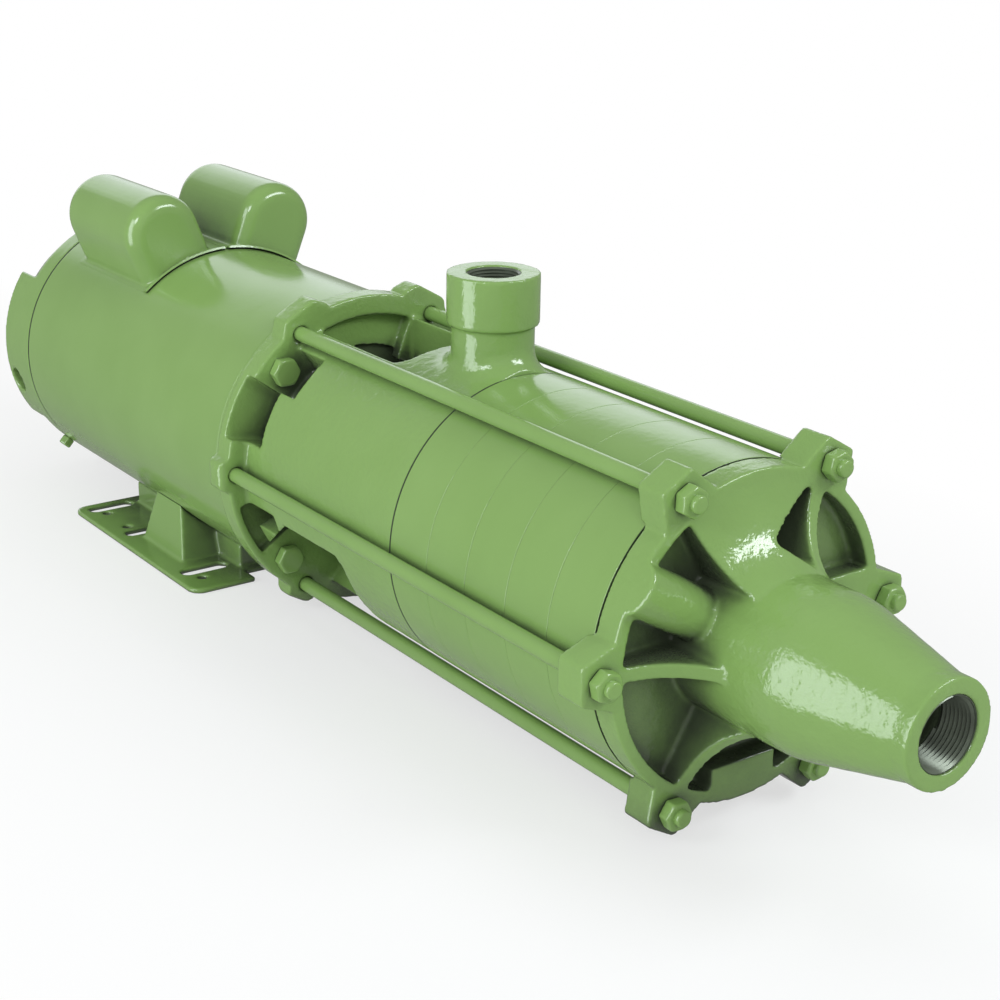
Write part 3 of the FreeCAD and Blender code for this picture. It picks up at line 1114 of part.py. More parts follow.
def suction_casing():
    joint = SUCTION_JOINT_X
    barrel = rod(joint, joint + NOZZLE_END, CASING_R)
    floor = rod(joint, joint + FLOOR_THICK, CASING_R)
    rim = tube(joint, RIM_FRONT_X, CASING_R, CASING_R - RIM_WALL)
    half = math.degrees(RIB_THICK / 2 / CASING_R)
    low, high = FLARE_ANGLES
    flare = revolved(flare_face(CASING_R), low - half, high - low + 2 * half)
    ribs = [gusset(flare_face(FLARE_TOP_R + 0.5), RIB_THICK, a) for a in ROD_ANGLES]
    land = Part.makeBox(RIM_THICK, CASING_R, 2 * SIDE_LAND_HALF, V(joint, 0, -SIDE_LAND_HALF))
    plate = Part.makeBox(RIM_THICK, 2 * BASE_PLATE_HALF, CASING_R - BASE_PLATE_DROP,
                         V(joint, -BASE_PLATE_HALF, -CASING_R))
    boss = radial_rod(RIM_FRONT_X - PLUG_BOSS_SET_BACK, SUCTION_EYE_R + 2.0, CASING_R + CUT_OVER,
                      PLUG_BOSS_R, PLUG_BOSS_ANGLE)
    lugs = [suction_lug(a) for a in ROD_ANGLES]
    outside = fuse(floor, rim, nozzle_outside(), flare.cut(flare_pocket()), *(ribs + lugs))
    outside = fuse(outside, land.common(barrel), plate.common(barrel), boss.common(barrel))
    holes = [rod(joint - LUG_THICK, RIM_FRONT_X + CUT_OVER, ROD_R + LUG_HOLE_ROOM, p.y, p.z)
             for p in rod_places()]
    return fuse(cut(outside, suction_passage(), *holes), spider_hub())


def guide_bush():
    start = SUCTION_JOINT_X + SPIDER_OFFSET
    return tube(start, start + SPIDER_LENGTH, JOURNAL_R + FIT_GAP + BUSH_WALL, JOURNAL_R + FIT_GAP)


# Tie rods


def tie_rods():
    return [rod(ROD_REAR_X, ROD_FRONT_X, ROD_R, p.y, p.z) for p in rod_places()]


def tie_rod_nuts():
    nuts = []
    for i, p in enumerate(rod_places()):
        nut = hexagon(RIM_FRONT_X, RIM_FRONT_X + NUT_HEIGHT, NUT_ACROSS, p.y, p.z, NUT_TWIST * i)
        bore = rod(RIM_FRONT_X - CUT_OVER, ROD_FRONT_X + CUT_OVER, ROD_R + FIT_GAP, p.y, p.z)
        nuts.append(nut.cut(bore))
    return nuts


# Pump shaft, coupling, slinger and mechanical seal


def pump_shaft():
    start = MOTOR_SHAFT_FRONT_X + SHAFT_END_GAP
    seal_start = COUPLING_FRONT_X + SHAFT_STEP_ROOM
    thread_end = HUBS_FRONT_X + SHAFT_NUT_LENGTH + SHAFT_STEP_ROOM
    journal_end = SUCTION_JOINT_X + SPIDER_OFFSET + SPIDER_LENGTH + JOURNAL_PROUD
    shaft = turned([
        (start, 0), (start, PUMP_SHAFT_R), (seal_start, PUMP_SHAFT_R),
        (seal_start, SEAL_SHAFT_R), (HUBS_REAR_X, SEAL_SHAFT_R),
        (HUBS_REAR_X, PUMP_SHAFT_R), (HUBS_FRONT_X, PUMP_SHAFT_R), (HUBS_FRONT_X, THREAD_END_R),
        (thread_end, THREAD_END_R), (thread_end, JOURNAL_R), (journal_end, JOURNAL_R),
        (journal_end, 0)])
    return shaft.cut(impeller_key(0.0))


def impeller_nut():
    nut = hexagon(HUBS_FRONT_X, HUBS_FRONT_X + SHAFT_NUT_LENGTH, SHAFT_NUT_ACROSS)
    bore = rod(HUBS_FRONT_X - CUT_OVER, HUBS_FRONT_X + SHAFT_NUT_LENGTH + CUT_OVER, THREAD_END_R)
    return nut.cut(bore)


def coupling_screw_places():
    return [COUPLING_REAR_X + COUPLING_LENGTH * share for share in COUPLING_SCREW_SHARES]


def coupling_sleeve():
    joint = MOTOR_SHAFT_FRONT_X + SHAFT_END_GAP / 2
    sleeve = turned([(COUPLING_REAR_X, DRIVE_END_R), (COUPLING_REAR_X, COUPLING_R),
                     (COUPLING_FRONT_X, COUPLING_R), (COUPLING_FRONT_X, PUMP_SHAFT_R),
                     (joint, PUMP_SHAFT_R), (joint, DRIVE_END_R)])
    holes = [radial_rod(x, 0, COUPLING_R + CUT_OVER, COUPLING_SCREW_HOLE_R, 90.0)
             for x in coupling_screw_places()]
    return cut(sleeve, *holes)


def coupling_screws():
    screws = []
    top = COUPLING_R - COUPLING_SCREW_SET_IN
    half = COUPLING_SOCKET / 2
    for x in coupling_screw_places():
        screw = radial_rod(x, PUMP_SHAFT_R + FIT_GAP, top, COUPLING_SCREW_R, 90.0)
        socket = Part.makeBox(COUPLING_SOCKET, COUPLING_SOCKET, COUPLING_SOCKET_DEPTH + CUT_OVER,
                              V(x - half, -half, top - COUPLING_SOCKET_DEPTH))
        screws.append(screw.cut(socket))
    return screws


def slinger():
    """Rubber disc with a collar that grips the motor shaft and throws off leaking water."""
    rear = MOTOR_FACE_X + SLINGER_OFFSET
    disc = tube(rear, rear + SLINGER_DISC, SLINGER_R, DRIVE_END_R)
    collar = tube(rear, rear + SLINGER_LENGTH, DRIVE_END_R + SLINGER_COLLAR_WALL, DRIVE_END_R)
    return fuse(disc, collar)


def seal_seat():
    return tube(CHAMBER_REAR_X - SEAT_DEPTH, SEAL_FACE_X, SEAT_R, SEAL_SHAFT_R + SEAT_ROOM)


def seal_head():
    length, step = SEAL_NOSE
    nose_end = SEAL_FACE_X + length
    nose = tube(SEAL_FACE_X, nose_end, SEAL_HEAD_R - step, SEAL_SHAFT_R)
    return fuse(nose, tube(nose_end, SEAL_FACE_X + SEAL_HEAD_LENGTH, SEAL_HEAD_R, SEAL_SHAFT_R))


def seal_bellows():
    """Rubber bellows between the seal head and the last impeller's hub."""
    start = SEAL_FACE_X + SEAL_HEAD_LENGTH
    middle = (start + HUBS_REAR_X) / 2
    half, depth = BELLOWS_WAIST
    return turned([(start, SEAL_SHAFT_R), (start, BELLOWS_R), (middle - half, BELLOWS_R),
                   (middle - half, BELLOWS_R - depth), (middle + half, BELLOWS_R - depth),
                   (middle + half, BELLOWS_R), (HUBS_REAR_X, BELLOWS_R), (HUBS_REAR_X, SEAL_SHAFT_R)])


def build():
    os.makedirs(PARTS_FOLDER, exist_ok=True)
    save("foot_base", foot_base())
    save("motor_shell", motor_shell())
    save("front_end_shield", front_end_shield())
    save("rear_end_shield", rear_end_shield())
    save("motor_through_bolts", *motor_through_bolts())
    save("terminal_cover", terminal_cover())
    save("terminal_cover_screws", *terminal_screws())
    save("earth_screw", earth_screw())
    save("stator_core", stator_core())
    save("stator_winding", stator_winding())
    save("rotor_core", rotor_core())
    save("rotor_cage", rotor_cage())
    save("motor_shaft", motor_shaft())
    front = (FRONT_BEARING_X, FRONT_BEARING_WIDTH, FRONT_BEARING_BORE_R, FRONT_BEARING_OUTER_R)
    rear = (REAR_BEARING_X, REAR_BEARING_WIDTH, REAR_BEARING_BORE_R, REAR_BEARING_OUTER_R)
    for name, sizes in (("front", front), ("rear", rear)):
        outside, inside = bearing_rings(*sizes)
        save(name + "_bearing_outer", outside)
        save(name + "_bearing_inner", inside)
    save("governor_plate", governor_plate())
    save("governor_pins", *governor_pins())
    save("governor_weight_upper", governor_weight(90.0))
    save("governor_weight_lower", governor_weight(270.0))
    save("governor_sleeve", governor_sleeve())
    save("starting_switch", switch_board())
    for side, name in ((-1, "left"), (1, "right")):
        save("capacitor_cover_" + name, capacitor_cover(side))
        save("capacitor_" + name, capacitor(side))
    save("capacitor_cover_screws", *capacitor_cover_screws())
    save("discharge_casing", discharge_casing())
    save("flange_bolts", *flange_bolts())
    save("tie_rods", *tie_rods())
    save("tie_rod_nuts", *tie_rod_nuts())
    for stage in range(1, STAGES + 1):
        save("stage_casing_%d" % stage, stage_casing(stage))
        save("diffuser_%d" % stage, diffuser(stage))
        save("impeller_%d" % stage, impeller(stage))
    save("suction_casing", suction_casing())
    save("guide_bush", guide_bush())
    save("pump_shaft", pump_shaft())
    save("impeller_key", impeller_key(KEY_SIDE_GAP))
    save("impeller_nut", impeller_nut())
    save("coupling_sleeve", coupling_sleeve())
    save("coupling_screws", *coupling_screws())
    save("slinger", slinger())
    save("seal_seat", seal_seat())
    save("seal_head", seal_head())
    save("seal_bellows", seal_bellows())


build()
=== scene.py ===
"""Horizontal multistage pump on its motor, dressed for a studio view.

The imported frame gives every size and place; this file gives the enamel, the cast and
turned surfaces, the hardware under paint, the pipe threads and the studio.
"""
import math

import bmesh
import bpy
from bpy.props import FloatProperty, FloatVectorProperty, IntProperty, PointerProperty
from mathutils import Matrix, Vector, noise


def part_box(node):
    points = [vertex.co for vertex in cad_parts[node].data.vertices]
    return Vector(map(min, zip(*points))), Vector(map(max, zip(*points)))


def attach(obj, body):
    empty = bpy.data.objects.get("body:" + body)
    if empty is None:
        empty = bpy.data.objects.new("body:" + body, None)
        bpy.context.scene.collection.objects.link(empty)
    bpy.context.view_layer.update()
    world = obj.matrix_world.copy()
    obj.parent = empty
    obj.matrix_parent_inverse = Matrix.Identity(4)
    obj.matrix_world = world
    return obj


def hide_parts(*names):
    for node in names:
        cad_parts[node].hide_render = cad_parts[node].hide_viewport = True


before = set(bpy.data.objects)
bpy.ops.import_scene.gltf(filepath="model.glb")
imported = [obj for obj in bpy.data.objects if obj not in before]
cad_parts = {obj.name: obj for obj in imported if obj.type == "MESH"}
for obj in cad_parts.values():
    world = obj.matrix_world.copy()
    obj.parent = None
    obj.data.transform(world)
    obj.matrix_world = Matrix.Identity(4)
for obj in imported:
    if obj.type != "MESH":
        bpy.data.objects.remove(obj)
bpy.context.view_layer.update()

bl_info = {
    "name": "Horizontal Multistage Pump",
    "version": (1, 0, 0),
    "blender": (4, 5, 0),
    "location": "View3D > Sidebar > Pump",
    "description": "Surfaces, painted hardware, pipe threads and studio of a multistage pump",
    "category": "Object",
}

MM = 0.001
ROOT = "pump_body"
SHELL_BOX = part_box("motor_shell")
AXIS_Z = (SHELL_BOX[0].z + SHELL_BOX[1].z) / 2


def linear(colour):
    """Linear RGBA of an sRGB hex colour such as "87AD69"."""
    channels = [int(colour[i:i + 2], 16) / 255 for i in (0, 2, 4)]
    return tuple(c / 12.92 if c <= 0.04045 else ((c + 0.055) / 1.055) ** 2.4
                 for c in channels) + (1.0,)


# Sizes of the enamel's patterns, and how much painted shade darkens it in hollows, low down and in
# the lantern
CLOUD = 55 * MM
DRIFT = 16 * MM
SMEAR = 30 * MM
SHELTER_REACH = 42 * MM
DRIFT_SHARE = 0.08
MOST_PAINTED_SHADE = 0.92
LOW_SHADE_HEIGHTS = (0.02, AXIS_Z + 0.015)
INSIDE_PAINTED_SHADE = 0.6
ENAMEL_IOR = 1.7

# Stage casings: wall, diaphragm and eye
STAGE_WALL = 6.0 * MM
STAGE_DIAPHRAGM = 3.6 * MM
STAGE_EYE = 26.0 * MM

# Bands of joint compound that also paint the shade of the open seams: depth, and how far they lie
# under or stand over the surface
BAND_DEPTH = 1.5 * MM
BAND_SUNK = 0.15 * MM
FIRST_BAND_PROUD = 0.03 * MM
FIRST_BAND_SHIFT = 1.4
SEAM_BAND_SHARE = 0.8

# Painted heads and rods
HEAD_TRIM = 0.1 * MM
LEAST_SHANK = 0.01 * MM
RIM_SHARE = 0.97
ROD_STEPS = 40

# Pressed covers: steps of each rounded end, and the least gap to the shell
END_STEPS = 6
LEAST_GAP = 0.1 * MM

# Floor: drop below the foot, middle and stretch of the shadow's area, glow near the pump
FLOOR_DROP = 0.1 * MM
SHADOW_CENTRE = (0.2, 0.0, 0.0)
SHADOW_STRETCH = (0.45, 1.0, 1.0)
NEAR_GLOW = 0.62


# Settings


def distance(name, description, default):
    return FloatProperty(name=name, description=description, default=default,
                         subtype="DISTANCE", unit="LENGTH")


def angle_of(name, description, degrees):
    return FloatProperty(name=name, description=description, default=math.radians(degrees),
                         subtype="ANGLE", unit="ROTATION")


def tint(name, description, colour):
    return FloatVectorProperty(name=name, description=description, default=linear(colour),
                               subtype="COLOR", size=4, min=0, max=1)


def number(name, description, default, low=0, high=20):
    return IntProperty(name=name, description=description, default=default, min=low, max=high)


def power(name, description, default):
    return FloatProperty(name=name, description=description + ", in watts", default=default)


class PumpEnamel(bpy.types.PropertyGroup):
    colour: tint("Enamel", "Green of the sprayed enamel in plain light", "88A961")
    shade: tint("Thick Enamel", "Green where the coat is thicker and darker", "7D9F55")
    # Dark grey-green of the painted shade in the enamel's hollows, low down and inside the lantern
    painted_shade_colour: tint("Primer", "Grey that shows where the spray didn't reach", "3E4239")
    roughness: FloatProperty(
        name="Roughness", description="Roughness of the dry enamel", subtype="FACTOR",
        min=0, max=1, default=0.14)
    peel: distance("Orange Peel", "Distance between the ripples of the sprayed coat", 3.2 * MM)


class PumpCastings(bpy.types.PropertyGroup):
    voxel: distance("Casting Detail", "Mesh size of the sand-cast pieces", 1.0 * MM)
    most_faces: number("Most Triangles", "Triangles that a cast piece is thinned to",
                       180000, 1000, 1000000)
    fine_voxel: distance("Fine Detail", "Mesh size of the pressed foot and covers", 0.9 * MM)
    edge_passes: number("Edge Passes", "Smoothing passes that round the cast edges", 4)
    grain: distance("Sand Grain", "Distance between the lumps that the sand mould leaves", 7 * MM)
    grain_depth: distance("Grain Depth", "Depth of the lumps that the sand mould leaves",
                          0.16 * MM)


class PumpRings(bpy.types.PropertyGroup):
    steps: number("Steps", "Faces round each turned piece", 256, 24, 512)
    chamfer: distance("Joint Chamfer", "Broken edge at each stage joint", 0.35 * MM)
    shell_wall: distance("Shell Wall", "Thickness of the rolled motor shell", 2.4 * MM)
    shell_edge: distance("Shell Edge", "Rolled edge at both ends of the motor shell", 0.6 * MM)
    foot_passes: number("Foot Passes", "Smoothing passes that round the pressed foot's bends", 8)
    # A dark line of joint compound and painted shade of the open seam at each joint
    joint_line: distance("Joint Line", "Width of the dark line of compound at each joint",
                         0.5 * MM)
    seam: distance("Rear Seam", "Open groove between the shell and the rear end shield", 0.9 * MM)


class PumpCovers(bpy.types.PropertyGroup):
    back_radius: distance("Back Radius", "Radius of the cover's round back", 23.5 * MM)
    back_height: distance("Back Height", "Axis of the round back from the pump axis", 101.0 * MM)
    tilt: angle_of("Tilt", "Lean of each cover from the vertical", 21.8)
    length: distance("Length", "Length of the raised back", 94.0 * MM)
    end_round: distance("End Rounding", "Radius where the back meets its ends", 9.0 * MM)
    skirt_angles: FloatVectorProperty(
        name="Skirt Angles", description="Inner and outer edge of the skirt round the shell",
        subtype="EULER", unit="ROTATION", size=2,
        default=(math.radians(90.6), math.radians(131.0)))
    tab_angle: angle_of("Tab Half Angle", "Half width of the screw's tab round the shell", 6.0)
    skirt_ahead: distance("Skirt Ahead", "How far the skirt reaches ahead of the raised back",
                          3.0 * MM)
    run_out: distance("Run Out", "Height below which the skirt runs out into the shell", 5.0 * MM)
    skirt_lift: distance("Skirt Lift", "How far the skirt's front edge stands off the shell",
                         2.3 * MM)
    lift_length: distance("Lift Length", "Stretch over which the skirt lifts off the shell",
                          9.0 * MM)
    sheet: distance("Sheet", "Thickness of the pressed sheet", 1.2 * MM)


class PumpHardware(bpy.types.PropertyGroup):
    chamfer_share: FloatProperty(
        name="Chamfer Circle", description="Chamfer circle as a share of the width across flats",
        subtype="FACTOR", min=0.7, max=1, default=0.93)
    grid: distance("Paint Grid", "Mesh size of the painted nuts and screws", 0.4 * MM)
    paint_passes: number("Paint Passes", "Smoothing passes that round the paint over the edges", 3)
    slot: distance("Driver Slot", "Width of the slot in the pan heads", 1.0 * MM)
    rod_end: distance("Rod End", "Rounding of the rods' ends under paint", 1.3 * MM)


class PumpThreads(bpy.types.PropertyGroup):
    suction_pitch: distance("Suction Pitch", "Pitch of the one-inch pipe thread, 11 to the inch",
                            25.4 / 11 * MM)
    suction_radius: distance("Suction Bore", "Radius of the suction port's tapped bore",
                             16.62 * MM)
    suction_depth: distance("Suction Depth", "Tapped length of the suction port", 20.0 * MM)
    discharge_pitch: distance(
        "Discharge Pitch", "Pitch of the 3/4-inch pipe thread, 14 to the inch", 25.4 / 14 * MM)
    discharge_radius: distance(
        "Discharge Bore", "Radius of the discharge port's tapped bore", 13.22 * MM)
    discharge_depth: distance("Discharge Depth", "Tapped length of the discharge port", 18.0 * MM)
    discharge_x: distance("Discharge Place", "Discharge port's axis along the pump", 265.3 * MM)


class PumpStudio(bpy.types.PropertyGroup):
    lens: FloatProperty(
        name="Lens", description="Focal length on a 36 mm sensor", default=68.68)
    eye: FloatVectorProperty(
        name="Eye", description="Place of the camera", subtype="TRANSLATION", unit="LENGTH",
        size=3, default=(1.00047, -0.52723, 0.41767))
    heading: angle_of("Heading", "Direction of view, counted from +X towards +Y", 144.0524)
    pitch: angle_of("Pitch", "Tilt of the view below the level", 19.6961)
    roll: angle_of("Roll", "Turn of the camera about its own axis", 0.9045)
    floor_reach: distance("Floor Reach", "Half width of the floor", 12.0)
    shadow_reach: FloatVectorProperty(
        name="Shadow Reach", description="Where the floor starts and ends its fade into white",
        subtype="XYZ_LENGTH", unit="LENGTH", size=2, default=(0.1, 0.42))
    window: power("Side Box", "Power of the tall soft box on the left", 16.5)
    key: power("Key Light", "Power of the small high light", 6.0)
    top: power("Top Light", "Power of the light overhead", 6.0)
    fill: power("Fill Light", "Power of the light on the right", 7.0)
    spark: power("Edge Light", "Power of the strip on the right that picks out the edges", 10.5)
    back: power("Back Panel", "Power of the panel behind the pump", 16.0)
    sky: FloatProperty(name="Surround", description="Strength of the white surround", default=0.3)


# Node and mesh helpers


def add_node(tree, kind, inputs=None, **settings):
    """Add one node and set its inputs.

    An input given a socket, a node, whose first output is meant, or a list of them is linked.
    """
    made = tree.nodes.new(kind)
    for name, value in settings.items():
        setattr(made, name, value)
    for key, value in (inputs or {}).items():
        for item in value if isinstance(value, list) else [value]:
            if isinstance(item, bpy.types.Node):
                item = item.outputs[0]
            if isinstance(item, bpy.types.NodeSocket):
                tree.links.new(item, made.inputs[key])
            else:
                made.inputs[key].default_value = item
    return made


def new_material(name):
    material = bpy.data.materials.new(name)
    material.use_nodes = True
    material.node_tree.nodes.clear()
    return material, material.node_tree


def surfaced(material, inputs):
    """Put one Principled shader with these inputs on the material's output."""
    tree = material.node_tree
    shader = add_node(tree, "ShaderNodeBsdfPrincipled", inputs)
    add_node(tree, "ShaderNodeOutputMaterial", {"Surface": shader})
    return material


def wear_pattern(tree, spacing, detail):
    """Fractal noise on the piece's own coordinates, with its lumps a real distance apart."""
    place = add_node(tree, "ShaderNodeTexCoord")
    return add_node(tree, "ShaderNodeTexNoise", {
        "Vector": place.outputs["Object"], "Scale": 1.0 / spacing, "Detail": detail,
        "Roughness": 0.55})


def line_pattern(tree, spacing, direction, inputs):
    """Waves on the piece's own coordinates, with their lines a real distance apart."""
    place = add_node(tree, "ShaderNodeTexCoord")
    return add_node(tree, "ShaderNodeTexWave", {
        "Vector": place.outputs["Object"], "Scale": 2 * math.pi / (20.0 * spacing), **inputs},
        bands_direction=direction).outputs["Fac"]


def distance_from(tree, centre, stretch):
    """Distance of the piece's own coordinates from a point, with each axis stretched."""
    place = add_node(tree, "ShaderNodeTexCoord")
    offset = add_node(tree, "ShaderNodeVectorMath", {0: place.outputs["Object"], 1: centre},
                      operation="SUBTRACT")
    stretched = add_node(tree, "ShaderNodeVectorMath", {0: offset, 1: stretch},
                         operation="MULTIPLY")
    return add_node(tree, "ShaderNodeVectorMath", {0: stretched},
                    operation="LENGTH").outputs["Value"]


# Finishes


def enamel(name, settings, lump_depth, lump_spacing, peel_depth, painted_shade_sky_range=(0.26, 0.5),
           low_painted_shade=0.0, inside=None):
    """Sprayed alkyd enamel: a full gloss that mirrors soft lights, broken by its own ripple.

    Painted shade turns the colour to a dark grey-green where the open share of the sky lies between
    the values of painted_shade_sky_range, more of it low down by low_painted_shade, and within the
    radii from the pump axis that inside gives.
    """
    material, tree = new_material(name)
    # A Mix node's colours are its inputs 6 and 7 and its output 2
    colour = add_node(tree, "ShaderNodeMix", {
        0: wear_pattern(tree, CLOUD, 2.0), 6: tuple(settings.colour), 7: tuple(settings.shade)},
        data_type="RGBA").outputs[2]
    if painted_shade_sky_range:
        shelter = add_node(tree, "ShaderNodeAmbientOcclusion", {"Distance": SHELTER_REACH},
                           samples=6)
        # What is added to the open share of the sky
        shifts = [add_node(tree, "ShaderNodeMapRange", {
            "Value": wear_pattern(tree, DRIFT, 3.0), "To Min": -DRIFT_SHARE,
            "To Max": DRIFT_SHARE})]
        if low_painted_shade:
            place = add_node(tree, "ShaderNodeTexCoord")
            spot = add_node(tree, "ShaderNodeSeparateXYZ", {0: place.outputs["Object"]})
            shifts.append(add_node(tree, "ShaderNodeMapRange", {
                "Value": spot.outputs["Z"], "From Min": LOW_SHADE_HEIGHTS[0], "From Max": LOW_SHADE_HEIGHTS[1],
                "To Min": -low_painted_shade, "To Max": 0.0}))
        if inside:
            radius = distance_from(tree, (0.0, 0.0, AXIS_Z), (0.0, 1.0, 1.0))
            shifts.append(add_node(tree, "ShaderNodeMapRange", {
                "Value": radius, "From Min": inside[0], "From Max": inside[1],
                "To Min": -INSIDE_PAINTED_SHADE, "To Max": 0.0}))
        level = shelter.outputs["AO"]
        for shift in shifts:
            level = add_node(tree, "ShaderNodeMath", {0: level, 1: shift}, operation="ADD")
        # Painted shade: the less open sky, the more of the dark grey-green
        painted_shade_amount = add_node(tree, "ShaderNodeMapRange", {
            "Value": level, "From Min": painted_shade_sky_range[0], "From Max": painted_shade_sky_range[1],
            "To Min": MOST_PAINTED_SHADE, "To Max": 0.0})
        colour = add_node(tree, "ShaderNodeMix", {
            0: painted_shade_amount, 6: colour, 7: tuple(settings.painted_shade_colour)}, data_type="RGBA").outputs[2]
    lumps = add_node(tree, "ShaderNodeBump", {
        "Height": wear_pattern(tree, lump_spacing, 3.0), "Distance": lump_depth,
        "Strength": 1.0})
    ripple = add_node(tree, "ShaderNodeBump", {
        "Height": wear_pattern(tree, settings.peel, 2.0), "Distance": peel_depth,
        "Strength": 1.0, "Normal": lumps})
    rough = add_node(tree, "ShaderNodeMapRange", {
        "Value": wear_pattern(tree, SMEAR, 4.0), "To Min": settings.roughness - 0.05,
        "To Max": settings.roughness + 0.09})
    return surfaced(material, {
        "Base Color": colour, "Roughness": rough, "Normal": ripple, "IOR": ENAMEL_IOR})


def metal(name, light, dark, roughness, spacing, depth, metallic=1.0):
    """Bare metal whose tone and polish shift over a real distance."""
    material, tree = new_material(name)
    tone = wear_pattern(tree, spacing * 6, 4.0)
    shade = add_node(tree, "ShaderNodeMix", {0: tone, 6: linear(light), 7: linear(dark)},
                     data_type="RGBA")
    polish = add_node(tree, "ShaderNodeMapRange", {
        "Value": tone, "To Min": roughness - 0.08, "To Max": roughness + 0.1})
    marks = add_node(tree, "ShaderNodeBump", {
        "Height": wear_pattern(tree, spacing, 2.0), "Distance": depth, "Strength": 1.0})
    return surfaced(material, {
        "Base Color": shade.outputs[2], "Metallic": metallic, "Roughness": polish,
        "Normal": marks})


def moulded(name, light, dark, roughness, spacing, depth, ior=1.46):
    """Moulded or fired surface with a fine even grain."""
    material, tree = new_material(name)
    tone = wear_pattern(tree, spacing * 10, 3.0)
    grain = wear_pattern(tree, spacing, 3.0)
    shade = add_node(tree, "ShaderNodeMix", {0: tone, 6: linear(light), 7: linear(dark)},
                     data_type="RGBA")
    dullness = add_node(tree, "ShaderNodeMapRange", {
        "Value": grain, "To Min": roughness - 0.05, "To Max": roughness + 0.08})
    pits = add_node(tree, "ShaderNodeBump", {
        "Height": grain, "Distance": depth, "Strength": 1.0})
    return surfaced(material, {
        "Base Color": shade.outputs[2], "Roughness": dullness, "Normal": pits, "IOR": ior})


def sheet_stack(name):
    """Stacked electrical steel: fine parallel lines across the axis, drawn 2 mm apart to show."""
    material, tree = new_material(name)
    lines = line_pattern(tree, 2.0 * MM, "X", {"Distortion": 0.4})
    shade = add_node(tree, "ShaderNodeMix", {
        0: lines, 6: linear("55565A"), 7: linear("2E2F33")}, data_type="RGBA")
    edges = add_node(tree, "ShaderNodeBump", {
        "Height": lines, "Distance": 0.1 * MM, "Strength": 1.0})
    return surfaced(material, {
        "Base Color": shade.outputs[2], "Metallic": 0.9, "Roughness": 0.45, "Normal": edges})


def wound_copper(name):
    """Varnished copper wire: close strands laid aslant, 2.2 mm apart, under amber varnish."""
    material, tree = new_material(name)
    strands = line_pattern(tree, 2.2 * MM, "DIAGONAL", {"Distortion": 2.5, "Detail Scale": 30.0})
    shade = add_node(tree, "ShaderNodeMix", {
        0: strands, 6: linear("9A4E22"), 7: linear("5A2A12")}, data_type="RGBA")
    wires = add_node(tree, "ShaderNodeBump", {
        "Height": strands, "Distance": 0.25 * MM, "Strength": 1.0})
    return surfaced(material, {
        "Base Color": shade.outputs[2], "Metallic": 0.6, "Roughness": 0.3, "Coat Weight": 0.5,
        "Normal": wires})


